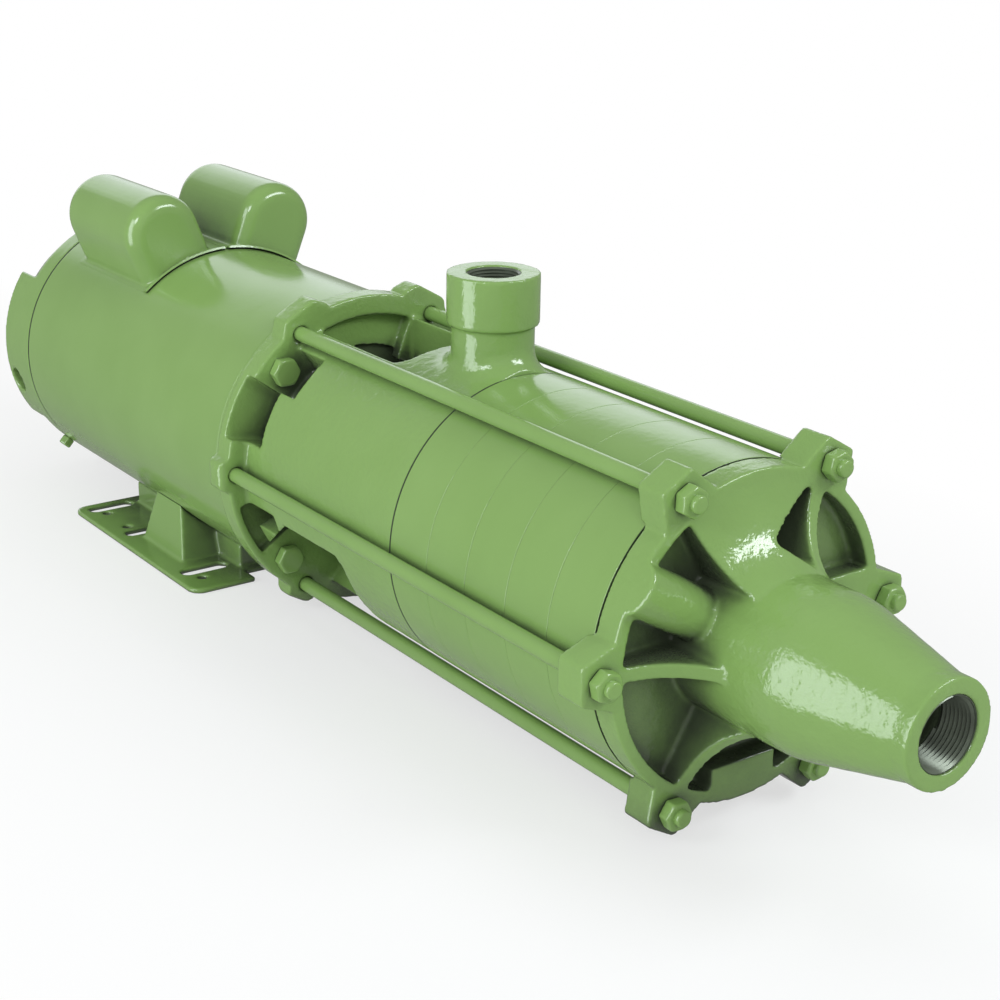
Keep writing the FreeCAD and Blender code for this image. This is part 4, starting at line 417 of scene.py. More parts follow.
def finishes(scene):
    """Every material by the record's slot, and the ones that only this scene adds."""
    paint = scene.pump_enamel
    return {
        # Enamel over sand-cast iron: gloss broken by mould lumps; painted shade in hollows and
        # lantern
        "green_castings": enamel("enamel_on_cast_iron", paint, 0.25 * MM, 7 * MM, 0.28 * MM,
                                 (0.2, 0.44), 0.0, (54 * MM, 66 * MM)),
        # The same coat on the suction casing, with strong painted shade in deep pockets and low down
        "front_casting": enamel("enamel_on_ribbed_casting", paint, 0.25 * MM, 7 * MM, 0.28 * MM,
                                (0.36, 0.68), 0.2),
        # Joint compound and painted shade of the open seams: a thin dull dark line at each joint
        "joint": moulded("joint_compound_and_painted_seam_shade", "3C4930", "2A3423", 0.8, 2 * MM, 0.02 * MM),
        # Enamel over drawn sheet: long clean reflections, with painted shade in its hollows
        "green_steel": enamel("enamel_on_drawn_sheet", paint, 0.12 * MM, 24 * MM, 0.05 * MM),
        # Enamel over die-cast aluminium: finer than sand casting, with painted shade in hollows
        "green_aluminium": enamel("enamel_on_die_casting", paint, 0.14 * MM, 9 * MM, 0.07 * MM),
        # The same on the shield that closes the lantern, with painted shade in hollows and inside
        # its rim
        "lantern_shield": enamel("enamel_on_hidden_die_casting", paint, 0.14 * MM, 9 * MM,
                                 0.07 * MM, inside=(58 * MM, 72 * MM)),
        # Enamel over turned rings: nearly as smooth as sheet, with painted shade in its hollows
        "turned": enamel("enamel_on_turned_iron", paint, 0.16 * MM, 14 * MM, 0.07 * MM),
        # Enamel over nuts and rods: thick, rounded, a little pooled
        "green_fasteners": enamel("enamel_on_fasteners", paint, 0.1 * MM, 4 * MM, 0.05 * MM, None),
        # Cut iron thread with a film of oil: dark, with bright crests
        "thread": metal("oiled_cut_iron_thread", "838C7A", "3C4237", 0.3, 3 * MM, 0.04 * MM, 0.4),
        # Ground shaft steel: bright and even
        "shaft_steel": metal("ground_shaft_steel", "A9A9A5", "8B8B88", 0.26, 2 * MM, 0.01 * MM),
        "lamination_steel": sheet_stack("laminated_electrical_steel"),
        "winding_copper": wound_copper("varnished_copper_winding"),
        # Cast cage aluminium: pale and slightly frosted
        "cage_aluminium": metal("die_cast_cage_aluminium", "B9BABC", "9A9B9E", 0.42,
                                3 * MM, 0.05 * MM),
        # Cast brass: warm, dull where it was cast and bright where cut
        "impeller_brass": metal("cast_impeller_brass", "B98F4A", "8F6C33", 0.36, 3 * MM, 0.06 * MM),
        # Glass-filled nylon: dark with a faint grey fleck
        "guide_plastic": moulded("glass_filled_nylon", "26272B", "17181B", 0.5, 1.2 * MM, 0.03 * MM),
        # Phenolic board: brown, faintly layered
        "board_plastic": moulded("phenolic_board", "7A4A26", "5B3519", 0.45, 2 * MM, 0.03 * MM),
        # Phenolic capacitor case: black gloss
        "capacitor_plastic": moulded("phenolic_capacitor_case", "141414", "0B0B0B", 0.22,
                                     4 * MM, 0.02 * MM),
        # Fired seal ceramic: white and lapped
        "seal_ceramic": moulded("lapped_seal_ceramic", "E2DED3", "D2CDBF", 0.15,
                                3 * MM, 0.005 * MM, 1.7),
        # Nitrile rubber: soft black with dust
        "black_rubber": moulded("nitrile_rubber", "2A2A29", "191919", 0.62, 1.5 * MM, 0.05 * MM),
    }


def coat(obj, material):
    obj.data.materials.clear()
    obj.data.materials.append(material)


def finish(key):
    """The named finish, made once."""
    if not finish.made:
        finish.made.update(finishes(bpy.context.scene))
    return finish.made[key]


finish.made = {}


# Pieces


def placed(name, data):
    """A new object in the scene."""
    obj = bpy.data.objects.new(name, data)
    bpy.context.scene.collection.objects.link(obj)
    return obj


def add_piece(name, mesh, body, material, replaced=(), sharp=35.0):
    """A finished mesh in the frame becomes a piece that rides on a body."""
    obj = placed(name, mesh)
    mesh.polygons.foreach_set("use_smooth", [True] * len(mesh.polygons))
    mesh.set_sharp_from_angle(angle=math.radians(sharp))
    coat(obj, material)
    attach(obj, body)
    if replaced:
        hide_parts(*replaced)
    return obj


def merged_copy(node):
    """A copy of a node's mesh with its loose triangles joined."""
    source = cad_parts[node].data
    mesh = bpy.data.meshes.new(node + "_merged")
    mesh.from_pydata([v.co for v in source.vertices], [],
                     [list(p.vertices) for p in source.polygons])
    shape = bmesh.new()
    shape.from_mesh(mesh)
    bmesh.ops.remove_doubles(shape, verts=shape.verts, dist=2e-6)
    bmesh.ops.dissolve_degenerate(shape, edges=shape.edges, dist=1e-6)
    shape.to_mesh(mesh)
    shape.free()
    return mesh


def plain_mesh(obj):
    """The evaluated object as a plain mesh; the object itself goes."""
    graph = bpy.context.evaluated_depsgraph_get()
    mesh = bpy.data.meshes.new_from_object(obj.evaluated_get(graph))
    bpy.data.objects.remove(obj)
    return mesh


def thinned(mesh, most):
    """The mesh with its flats made of fewer triangles, where it has more than it may."""
    count = sum(len(polygon.vertices) - 2 for polygon in mesh.polygons)
    if count <= most:
        return mesh
    work = placed("thinning", mesh)
    work.modifiers.new("thin", "DECIMATE").ratio = most / count
    return plain_mesh(work)


def softened(name, mesh, voxel, passes):
    """The mesh made anew from voxels, with its edges rounded by smoothing passes."""
    work = placed(name, mesh)
    remesh = work.modifiers.new("grid", "REMESH")
    remesh.mode = "VOXEL"
    remesh.voxel_size = voxel
    work.modifiers.new("rounding", "SMOOTH").iterations = passes
    return plain_mesh(work)


def cast_mesh(node, voxel, passes, grain, depth):
    """Copy of a node with rounded cast edges and the shallow lumps of its mould."""
    mesh = softened(node + "_cast", merged_copy(node), voxel, passes)
    if depth > 0:
        normals = [v.normal.copy() for v in mesh.vertices]
        for vertex, normal in zip(mesh.vertices, normals):
            lump = noise.fractal(vertex.co / grain, 0.8, 2.0, 2)
            vertex.co -= normal * depth * (0.5 + 0.5 * max(-1.0, min(1.0, lump)))
    return thinned(mesh, bpy.context.scene.pump_castings.most_faces)


def skin(shape, rings_in_pairs):
    """Faces between rings of corners that have as many corners each."""
    for one, two in rings_in_pairs:
        for j in range(len(one)):
            k = (j + 1) % len(one)
            shape.faces.new((one[j], one[k], two[k], two[j]))


def mesh_of(shape, name):
    mesh = bpy.data.meshes.new(name)
    shape.to_mesh(mesh)
    shape.free()
    return mesh


def lathe(outline, steps, centre):
    """Mesh of a closed (x, radius) outline turned about a line along X at (y, z)."""
    shape = bmesh.new()
    y, z = centre
    rings = []
    for i in range(steps):
        angle = 2 * math.pi * i / steps
        rings.append([shape.verts.new((x, y + r * math.cos(angle), z + r * math.sin(angle)))
                      for x, r in outline])
    skin(shape, zip(rings, rings[1:] + rings[:1]))
    bmesh.ops.remove_doubles(shape, verts=shape.verts, dist=1e-6)
    bmesh.ops.recalc_face_normals(shape, faces=shape.faces)
    return mesh_of(shape, "turned")


def rounded(corners, pieces=4):
    """Closed outline whose corners (x, radius, fillet) are rounded by short arcs.

    A point beyond each end of an arc keeps the shading of the long flats beside it flat.
    """
    points = []
    count = len(corners)
    for i, (x, r, fillet) in enumerate(corners):
        here = Vector((x, r))
        before = Vector(corners[i - 1][:2]) - here
        after = Vector(corners[(i + 1) % count][:2]) - here
        if fillet <= 0:
            points.append((x, r))
            continue
        start = here + before.normalized() * fillet
        end = here + after.normalized() * fillet
        points.append(tuple(here + before.normalized() * fillet * 1.8))
        for k in range(pieces + 1):
            t = k / pieces
            point = start * (1 - t) ** 2 + here * 2 * t * (1 - t) + end * t ** 2
            points.append((point.x, point.y))
        points.append(tuple(here + after.normalized() * fillet * 1.8))
    return points


def new_tree(name, sockets):
    """A geometry tree with named inputs; gives the tree and its inputs' sockets."""
    tree = bpy.data.node_groups.new(name, "GeometryNodeTree")
    tree.interface.new_socket("Geometry", in_out="INPUT", socket_type="NodeSocketGeometry")
    for label, kind in sockets.items():
        tree.interface.new_socket(label, in_out="INPUT", socket_type="NodeSocket" + kind)
    tree.interface.new_socket("Geometry", in_out="OUTPUT", socket_type="NodeSocketGeometry")
    return tree, add_node(tree, "NodeGroupInput").outputs


def stood_on_points(tree, points, tool, material):
    """Stand the tool on each point by its own turn, then realize it in one material."""
    turn = add_node(tree, "GeometryNodeInputNamedAttribute", {"Name": "turn"},
                    data_type="FLOAT_VECTOR")
    rotation = add_node(tree, "FunctionNodeEulerToRotation", {"Euler": turn.outputs["Attribute"]})
    stood = add_node(tree, "GeometryNodeInstanceOnPoints", {
        "Points": points, "Instance": tool, "Rotation": rotation})
    real = add_node(tree, "GeometryNodeRealizeInstances", {"Geometry": stood})
    dressed = add_node(tree, "GeometryNodeSetMaterial", {
        "Geometry": real, "Material": material})
    add_node(tree, "NodeGroupOutput", {"Geometry": dressed})


def grown(tree, places, values):
    """Run a tree on a set of places (point, rotation) and give back the plain mesh."""
    mesh = bpy.data.meshes.new(tree.name + "_places")
    mesh.from_pydata([point for point, turn in places], [], [])
    turns = mesh.attributes.new("turn", "FLOAT_VECTOR", "POINT")
    for item, (point, turn) in zip(turns.data, places):
        item.vector = turn.to_euler()
    work = placed(tree.name + "_work", mesh)
    modifier = work.modifiers.new("tree", "NODES")
    modifier.node_group = tree
    for item in tree.interface.items_tree:
        if item.in_out == "INPUT" and item.name in values:
            modifier[item.identifier] = values[item.name]
    return plain_mesh(work)


def joined(meshes):
    shape = bmesh.new()
    for mesh in meshes:
        shape.from_mesh(mesh)
    return mesh_of(shape, "joined")


def islands(node):
    """The corners of each separate solid of a node."""
    shape = bmesh.new()
    shape.from_mesh(merged_copy(node))
    left = set(shape.verts)
    groups = []
    while left:
        waiting = [left.pop()]
        group = []
        while waiting:
            corner = waiting.pop()
            group.append(corner.co.copy())
            near = {edge.other_vert(corner) for edge in corner.link_edges} & left
            left -= near
            waiting.extend(near)
        groups.append(group)
    shape.free()
    return groups


def along_x(corners):
    return Vector((1, 0, 0))


def against_x(corners):
    return Vector((-1, 0, 0))


def from_axis(corners):
    """Direction from the pump axis through the middle of a solid."""
    middle = sum(corners, Vector()) / len(corners)
    return Vector((0, middle.y, middle.z - AXIS_Z)).normalized()


def head_of(corners, out):
    """A screw's seat and turn, with its corner radius, height, shank radius and shank length."""
    side = out.orthogonal().normalized()
    up = out.cross(side)
    spans = [[corner.dot(axis) for corner in corners] for axis in (side, up)]
    middle = [(min(span) + max(span)) / 2 for span in spans]
    offsets = [side * (a - middle[0]) + up * (b - middle[1]) for a, b in zip(*spans)]
    heights = [corner.dot(out) for corner in corners]
    reach = max(offset.length for offset in offsets)
    rim = [i for i, offset in enumerate(offsets) if offset.length > RIM_SHARE * reach]
    seat = min(heights[i] for i in rim)
    shank = [offset.length for offset, height in zip(offsets, heights)
             if height < seat - HEAD_TRIM]
    corner = offsets[rim[0]].normalized()
    turn = Matrix((corner, out.cross(corner), out)).transposed()
    place = side * middle[0] + up * middle[1] + out * seat
    return place, turn, reach, max(heights) - seat, max(shank, default=0.0), seat - min(heights)


def node_radius(node):
    low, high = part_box(node)
    return (high.y - low.y) / 2


# Operators


class PUMP_OT_castings(bpy.types.Operator):
    """Sand-cast discharge and suction casings with rounded edges and mould lumps"""
    bl_idname = "pump.castings"
    bl_label = "Cast Casings"

    def execute(self, context):
        settings = context.scene.pump_castings
        for node, coating in (("discharge_casing", "green_castings"),
                              ("suction_casing", "front_casting")):
            mesh = cast_mesh(node, settings.voxel, settings.edge_passes, settings.grain,
                             settings.grain_depth)
            add_piece(node + "_cast", mesh, ROOT,
                      finish(coating), [node], 180.0)
        return {"FINISHED"}


class PUMP_OT_motor_shell(bpy.types.Operator):
    """Rolled motor shell with turned-in edges, and the pressed foot under it"""
    bl_idname = "pump.motor_shell"
    bl_label = "Motor Shell and Foot"

    def execute(self, context):
        rings = context.scene.pump_rings
        castings = context.scene.pump_castings
        steel = finish("green_steel")
        low, high = SHELL_BOX
        outer = node_radius("motor_shell")
        bore = outer - rings.shell_wall
        rear = low.x + rings.seam
        outline = rounded([(high.x, bore, 0), (high.x, outer, rings.shell_edge),
                           (rear, outer, rings.shell_edge), (rear, bore, 0)])
        shell = lathe(outline, rings.steps, (0.0, AXIS_Z))
        add_piece("motor_shell_rolled", shell, ROOT, steel, ["motor_shell"])
        foot = cast_mesh("foot_base", castings.fine_voxel, rings.foot_passes, castings.grain, 0.0)
        add_piece("foot_pressed", foot, ROOT, steel, ["foot_base"], 180.0)
        return {"FINISHED"}


class PUMP_OT_covers(bpy.types.Operator):
    """Pressed capacitor covers, round-backed, with a skirt that lies on the shell"""
    bl_idname = "pump.covers"
    bl_label = "Capacitor Covers"

    def execute(self, context):
        for name in ("capacitor_cover_left", "capacitor_cover_right"):
            mesh = cover_mesh(context.scene, name)
            add_piece(name + "_pressed", mesh, ROOT,
                      finish("green_steel"), [name], 60.0)
        return {"FINISHED"}


class PUMP_OT_hardware(bpy.types.Operator):
    """Nuts, bolts and screws with the enamel rounded over their edges, and the tie rods"""
    bl_idname = "pump.hardware"
    bl_label = "Nuts, Bolts and Rods"

    def execute(self, context):
        settings = context.scene.pump_hardware
        paint = finish("green_fasteners")
        tree = painted_head_tree()
        for node, direction, sides in (
                ("tie_rod_nuts", along_x, 6), ("flange_bolts", along_x, 6),
                ("motor_through_bolts", against_x, 6), ("earth_screw", from_axis, 6),
                ("capacitor_cover_screws", from_axis, 32), ("terminal_cover_screws", against_x, 32)):
            heads = []
            for corners in islands(node):
                place, turn, reach, height, core, shank = head_of(corners, direction(corners))
                heads.append((place, turn))
            mesh = grown(tree, heads, {
                "Sides": sides, "Corner Radius": reach, "Height": height - HEAD_TRIM,
                "Chamfer Share": settings.chamfer_share, "Shank Radius": max(core, LEAST_SHANK),
                "Shank Length": max(shank, LEAST_SHANK), "Slot Width": settings.slot,
                "Slotted": sides > 6, "Grid": settings.grid, "Passes": settings.paint_passes,
                "Material": paint})
            add_piece(node + "_painted", mesh, ROOT, paint, [node], 50.0)
        rods = []
        for corners in islands("tie_rods"):
            spans = [[corner[k] for corner in corners] for k in range(3)]
            (x0, x1), (y0, y1), (z0, z1) = [(min(span), max(span)) for span in spans]
            radius = (y1 - y0) / 2
            outline = rounded([(x0, 0, 0), (x1, 0, 0), (x1, radius, settings.rod_end),
                               (x0, radius, 0)])
            rods.append(lathe(outline, ROD_STEPS, ((y0 + y1) / 2, (z0 + z1) / 2)))
        add_piece("tie_rods_painted", joined(rods), ROOT, paint,
                  ["tie_rods"], 50.0)
        return {"FINISHED"}


class PUMP_OT_threads(bpy.types.Operator):
    """Cut pipe threads in the suction and discharge ports"""
    bl_idname = "pump.threads"
    bl_label = "Pipe Threads"

    def execute(self, context):
        settings = context.scene.pump_threads
        steel = finish("thread")
        tree = pipe_thread_tree()
        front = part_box("suction_casing")[1].x
        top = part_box("discharge_casing")[1].z
        ports = (
            ("suction_thread", Vector((front, 0, AXIS_Z)),
             Matrix.Rotation(math.radians(-90), 3, "Y"),
             settings.suction_radius, settings.suction_depth, settings.suction_pitch),
            ("discharge_thread", Vector((settings.discharge_x, 0, top)),
             Matrix.Rotation(math.radians(180), 3, "X"),
             settings.discharge_radius, settings.discharge_depth, settings.discharge_pitch))
        for name, mouth, turn, radius, depth, pitch in ports:
            mesh = grown(tree, [(mouth, turn)], {
                "Radius": radius, "Depth": depth, "Pitch": pitch, "Material": steel})
            add_piece(name, mesh, ROOT, steel, (), 30.0)
        return {"FINISHED"}


class PUMP_OT_end_shields(bpy.types.Operator):
    """Die-cast rear end shield of the motor"""
    bl_idname = "pump.end_shields"
    bl_label = "Rear End Shield"

    def execute(self, context):
        settings = context.scene.pump_castings
        mesh = cast_mesh("rear_end_shield", settings.voxel, settings.edge_passes - 1,
                         settings.grain, settings.grain_depth / 2)
        add_piece("rear_end_shield_cast", mesh, ROOT,
                  finish("green_aluminium"), ["rear_end_shield"], 180.0)
        return {"FINISHED"}


class PUMP_OT_stage_rings(bpy.types.Operator):
    """Turned stage casings whose broken edges show each joint"""
    bl_idname = "pump.stage_rings"
    bl_label = "Stage Rings"

    def execute(self, context):
        settings = context.scene.pump_rings
        stages = sorted(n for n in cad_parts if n.startswith("stage_casing_"))
        edge = settings.chamfer
        for node in stages:
            low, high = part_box(node)
            outer = node_radius(node)
            bore = outer - STAGE_WALL
            web = high.x - STAGE_DIAPHRAGM
            outline = rounded([
                (high.x, STAGE_EYE, 0), (high.x, outer, edge), (low.x, outer, edge),
                (low.x, bore, 0), (web, bore, 0), (web, STAGE_EYE, 0)])
            mesh = lathe(outline, settings.steps, (0.0, AXIS_Z))
            add_piece(node + "_turned", mesh, ROOT,
                      finish("turned"), [node])
        half = settings.joint_line / 2
        first = min(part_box(node)[0].x for node in stages)
        # Middle, half width and outer radius of each band; each is dark joint compound and painted
        # shade of its open seam, and the first shows as a dark ring
        bands = [(first - FIRST_BAND_SHIFT * half, 2 * half, outer + FIRST_BAND_PROUD),
                 (SHELL_BOX[0].x + BAND_SUNK, settings.seam * SEAM_BAND_SHARE,
                  node_radius("motor_shell") - BAND_SUNK)]
        bands += [(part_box(node)[1].x, half, outer - BAND_SUNK) for node in stages]
        lines = [lathe([(x + w, top - BAND_DEPTH), (x + w, top), (x - w, top),
                        (x - w, top - BAND_DEPTH)], settings.steps, (0.0, AXIS_Z))
                 for x, w, top in bands]
        add_piece("joint_lines", joined(lines), ROOT, finish("joint"))
        return {"FINISHED"}


class PUMP_OT_inner_works(bpy.types.Operator):
    """Give every node of the frame the finish of its own slot"""
    bl_idname = "pump.inner_works"
    bl_label = "Frame Finishes"

    def execute(self, context):
        for name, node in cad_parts.items():
            slots = [m.name for m in node.data.materials if m]
            if len(slots) != 1:
                raise RuntimeError("node %s has no single slot" % name)
            key = "lantern_shield" if name == "front_end_shield" else slots[0].split(".")[0]
            coat(node, finish(key))
        return {"FINISHED"}


class PUMP_OT_studio(bpy.types.Operator):
    """White floor, soft lights and the camera"""
    bl_idname = "pump.studio"
    bl_label = "Studio"

    def execute(self, context):
        scene = context.scene
        settings = scene.pump_studio
        add_floor(settings)
        add_lights(settings)
        add_surround(scene, settings.sky)
        add_camera(scene, settings)
        scene.view_settings.view_transform = "Standard"
        return {"FINISHED"}


def raised(tree, geometry, height, share):
    """Move a geometry along Z by a share of a height."""
    part = add_node(tree, "ShaderNodeMath", {0: height, 1: share}, operation="MULTIPLY")
    lift = add_node(tree, "ShaderNodeCombineXYZ", {"Z": part})
    return add_node(tree, "GeometryNodeTransform", {
        "Geometry": geometry, "Translation": lift})


def painted_head_tree():
    """Hexagon or round head with a chamfer, a shank and, if asked, a driver's slot."""
    tree, given = new_tree("painted_head", {
        "Sides": "Int", "Corner Radius": "Float", "Height": "Float", "Chamfer Share": "Float",
        "Shank Radius": "Float", "Shank Length": "Float", "Slot Width": "Float",
        "Slotted": "Bool", "Grid": "Float", "Passes": "Int", "Material": "Material"})
    height = given["Height"]
    reach = given["Corner Radius"]
    bar = add_node(tree, "GeometryNodeMeshCylinder", {
        "Vertices": given["Sides"], "Radius": reach, "Depth": height}, fill_type="NGON")
    head = raised(tree, bar, height, 0.5)
    # The circle across the flats, and a cone that falls off at 30 degrees from it
    share = add_node(tree, "ShaderNodeMath", {0: reach, 1: given["Chamfer Share"]},
                     operation="MULTIPLY")
    circle = add_node(tree, "ShaderNodeMath", {0: share, 1: math.cos(math.radians(30))},
                      operation="MULTIPLY")
    slope = add_node(tree, "ShaderNodeMath", {0: height, 1: math.tan(math.radians(60))},
                     operation="MULTIPLY")
    wide = add_node(tree, "ShaderNodeMath", {0: circle, 1: slope}, operation="ADD")
    cone = add_node(tree, "GeometryNodeMeshCone", {
        "Vertices": 48, "Radius Top": circle, "Radius Bottom": wide, "Depth": height},
        fill_type="NGON")
    chamfered = add_node(tree, "GeometryNodeMeshBoolean", {1: [head, cone]},
                         operation="INTERSECT", solver="EXACT")
    across = add_node(tree, "ShaderNodeMath", {0: reach, 1: 3.0}, operation="MULTIPLY")
    block = add_node(tree, "ShaderNodeCombineXYZ", {
        "X": across, "Y": given["Slot Width"], "Z": height})
    groove = add_node(tree, "GeometryNodeMeshCube", {"Size": block})
    slotted = add_node(tree, "GeometryNodeMeshBoolean", {
        0: chamfered, 1: raised(tree, groove, height, 1.0)},
        operation="DIFFERENCE", solver="EXACT")
    chosen = add_node(tree, "GeometryNodeSwitch", {
        "Switch": given["Slotted"], "False": chamfered, "True": slotted}, input_type="GEOMETRY")
    band = add_node(tree, "ShaderNodeMath", {0: given["Grid"], 1: 3.0}, operation="MULTIPLY")
    filled = add_node(tree, "GeometryNodeMeshToVolume", {
        "Mesh": chosen, "Voxel Size": given["Grid"], "Interior Band Width": band},
        resolution_mode="VOXEL_SIZE")
    skinned = add_node(tree, "GeometryNodeVolumeToMesh", {
        "Volume": filled, "Voxel Size": given["Grid"], "Threshold": 0.1},
        resolution_mode="VOXEL_SIZE")
    place = add_node(tree, "GeometryNodeInputPosition")
    blurred = add_node(tree, "GeometryNodeBlurAttribute", {
        "Value": place, "Iterations": given["Passes"]}, data_type="FLOAT_VECTOR")
    soft = add_node(tree, "GeometryNodeSetPosition", {
        "Geometry": skinned, "Position": blurred})
    shank = add_node(tree, "GeometryNodeMeshCylinder", {
        "Vertices": 24, "Radius": given["Shank Radius"], "Depth": given["Shank Length"]},
        fill_type="NGON")
    sunk = raised(tree, shank, given["Shank Length"], -0.5)
    both = add_node(tree, "GeometryNodeJoinGeometry", {0: [soft, sunk]})
    stood_on_points(tree, given["Geometry"], both, given["Material"])
    return tree


def pipe_thread_tree():
    """Sleeve on the tapped bore's wall with one ridge wound along it; the mouth is at zero."""
    tree, given = new_tree("pipe_thread", {
        "Radius": "Float", "Depth": "Float", "Pitch": "Float", "Material": "Material"})
    pitch = given["Pitch"]
    lap = add_node(tree, "ShaderNodeMath", {0: pitch, 1: 0.12}, operation="MULTIPLY")
    wall = add_node(tree, "ShaderNodeMath", {0: given["Radius"], 1: lap}, operation="SUBTRACT")
    length = add_node(tree, "ShaderNodeMath", {0: given["Depth"], 1: pitch}, operation="SUBTRACT")
    turns = add_node(tree, "ShaderNodeMath", {0: given["Depth"], 1: pitch}, operation="DIVIDE")
    spiral = add_node(tree, "GeometryNodeCurveSpiral", {
        "Resolution": 72, "Rotations": turns, "Start Radius": wall, "End Radius": wall,
        "Height": length})
    crest = add_node(tree, "ShaderNodeMath", {0: pitch, 1: 0.5}, operation="MULTIPLY")
    ridge = add_node(tree, "GeometryNodeCurvePrimitiveCircle", {"Resolution": 4, "Radius": crest})
    wound = add_node(tree, "GeometryNodeSetCurveNormal", {"Curve": spiral}, mode="Z_UP")
    thread = add_node(tree, "GeometryNodeCurveToMesh", {
        "Curve": wound, "Profile Curve": ridge, "Fill Caps": True})
    hoop = add_node(tree, "GeometryNodeCurvePrimitiveCircle", {"Resolution": 96, "Radius": wall})
    hoop_up = add_node(tree, "GeometryNodeSetCurveNormal", {"Curve": hoop}, mode="Z_UP")
    profile = add_node(tree, "GeometryNodeCurvePrimitiveQuadrilateral", {
        "Width": lap, "Height": length})
    sleeve = add_node(tree, "GeometryNodeCurveToMesh", {
        "Curve": hoop_up, "Profile Curve": profile})
    both = add_node(tree, "GeometryNodeJoinGeometry", {0: [
        raised(tree, thread, pitch, 0.6), raised(tree, sleeve, given["Depth"], 0.5)]})
    stood_on_points(tree, given["Geometry"], both, given["Material"])
    return tree


def prism(sections):
    """Closed mesh through sections that have as many points each."""
    shape = bmesh.new()
    rings = [[shape.verts.new(point) for point in points] for points in sections]
    skin(shape, zip(rings, rings[1:]))
    shape.faces.new(rings[0])
    shape.faces.new(rings[-1])
    bmesh.ops.recalc_face_normals(shape, faces=shape.faces)
    return mesh_of(shape, "prism")


def back_section(x, radius, height, root, steps=24):
    """Upright round-topped section of a cover, about the pump axis."""
    arc = [math.pi * i / steps for i in range(steps + 1)]
    top = [(x, -radius * math.cos(a), height + radius * math.sin(a)) for a in arc]
    return [(x, -radius, root)] + top + [(x, radius, root)]


def band_section(x, inner, outer, start, end, steps=40):
    """Section of a band that lies round the shell, from one angle to another."""
    angles = [start + (end - start) * i / steps for i in range(steps + 1)]
    low = [(x, inner * math.cos(a), inner * math.sin(a)) for a in angles]
    high = [(x, outer * math.cos(a), outer * math.sin(a)) for a in reversed(angles)]
    return low + high


def cover_mesh(scene, node):
    """Thin pressed cover: a round-backed block blended into its skirt, hollow from below."""
    sizes = scene.pump_covers
    castings = scene.pump_castings
    low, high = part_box(node)
    shell = node_radius("motor_shell")
    root = shell - 4 * sizes.sheet
    outer = shell + sizes.sheet
    front = high.x - sizes.skirt_ahead
    rear = front - sizes.length
    sections = []
    for end, way in ((rear, -1), (front, 1)):
        for k in range(END_STEPS + 1):
            angle = math.pi / (2 * END_STEPS) * (END_STEPS - k if way < 0 else k)
            x = end - way * sizes.end_round * (1 - math.sin(angle))
            radius = sizes.back_radius - sizes.end_round * (1 - math.cos(angle))
            sections.append(back_section(x, radius, sizes.back_height, root))
    block = prism(sections)
    block.transform(Matrix.Rotation(sizes.tilt, 4, "X"))
    lean = math.pi / 2 + sizes.tilt
    skirt = prism([band_section(x, root, outer, *sizes.skirt_angles) for x in (rear, high.x)])
    tab = prism([band_section(x, root, outer, lean - sizes.tab_angle, lean + sizes.tab_angle, 12)
                 for x in (low.x, rear + sizes.sheet)])
    mesh = softened(node + "_work", joined([block, skirt, tab]), castings.fine_voxel,
                    castings.edge_passes)
    seat_on_shell(mesh, shell, high.x, sizes)
    work = placed(node + "_work", mesh)
    wall = work.modifiers.new("wall", "SOLIDIFY")
    wall.thickness = sizes.sheet
    wall.offset = -1.0
    mesh = plain_mesh(work)
    if low.y + high.y > 0:
        mesh.transform(Matrix.Scale(-1, 4, (0, 1, 0)))
        mesh.flip_normals()
    mesh.transform(Matrix.Translation((0, 0, AXIS_Z)))
    return mesh


def seat_on_shell(mesh, shell, front, sizes):
    """Cut away what lies inside the shell and lay the edge that is left on or just above it."""
    shape = bmesh.new()
    shape.from_mesh(mesh)
    inside = [v for v in shape.verts if math.hypot(v.co.y, v.co.z) < shell - 0.8 * sizes.sheet]
    bmesh.ops.delete(shape, geom=inside, context="VERTS")
    for vertex in shape.verts:
        radius = math.hypot(vertex.co.y, vertex.co.z)
        lift = max(0.0, 1 - (front - vertex.co.x) / sizes.lift_length) ** 2 * sizes.skirt_lift
        height = max(0.0, radius - shell)
        share = min(1.0, height / sizes.run_out)
        seat = shell + max(lift, height * share * share * (3 - 2 * share), LEAST_GAP)
        vertex.co.y *= seat / radius
        vertex.co.z *= seat / radius
    shape.to_mesh(mesh)
    shape.free()


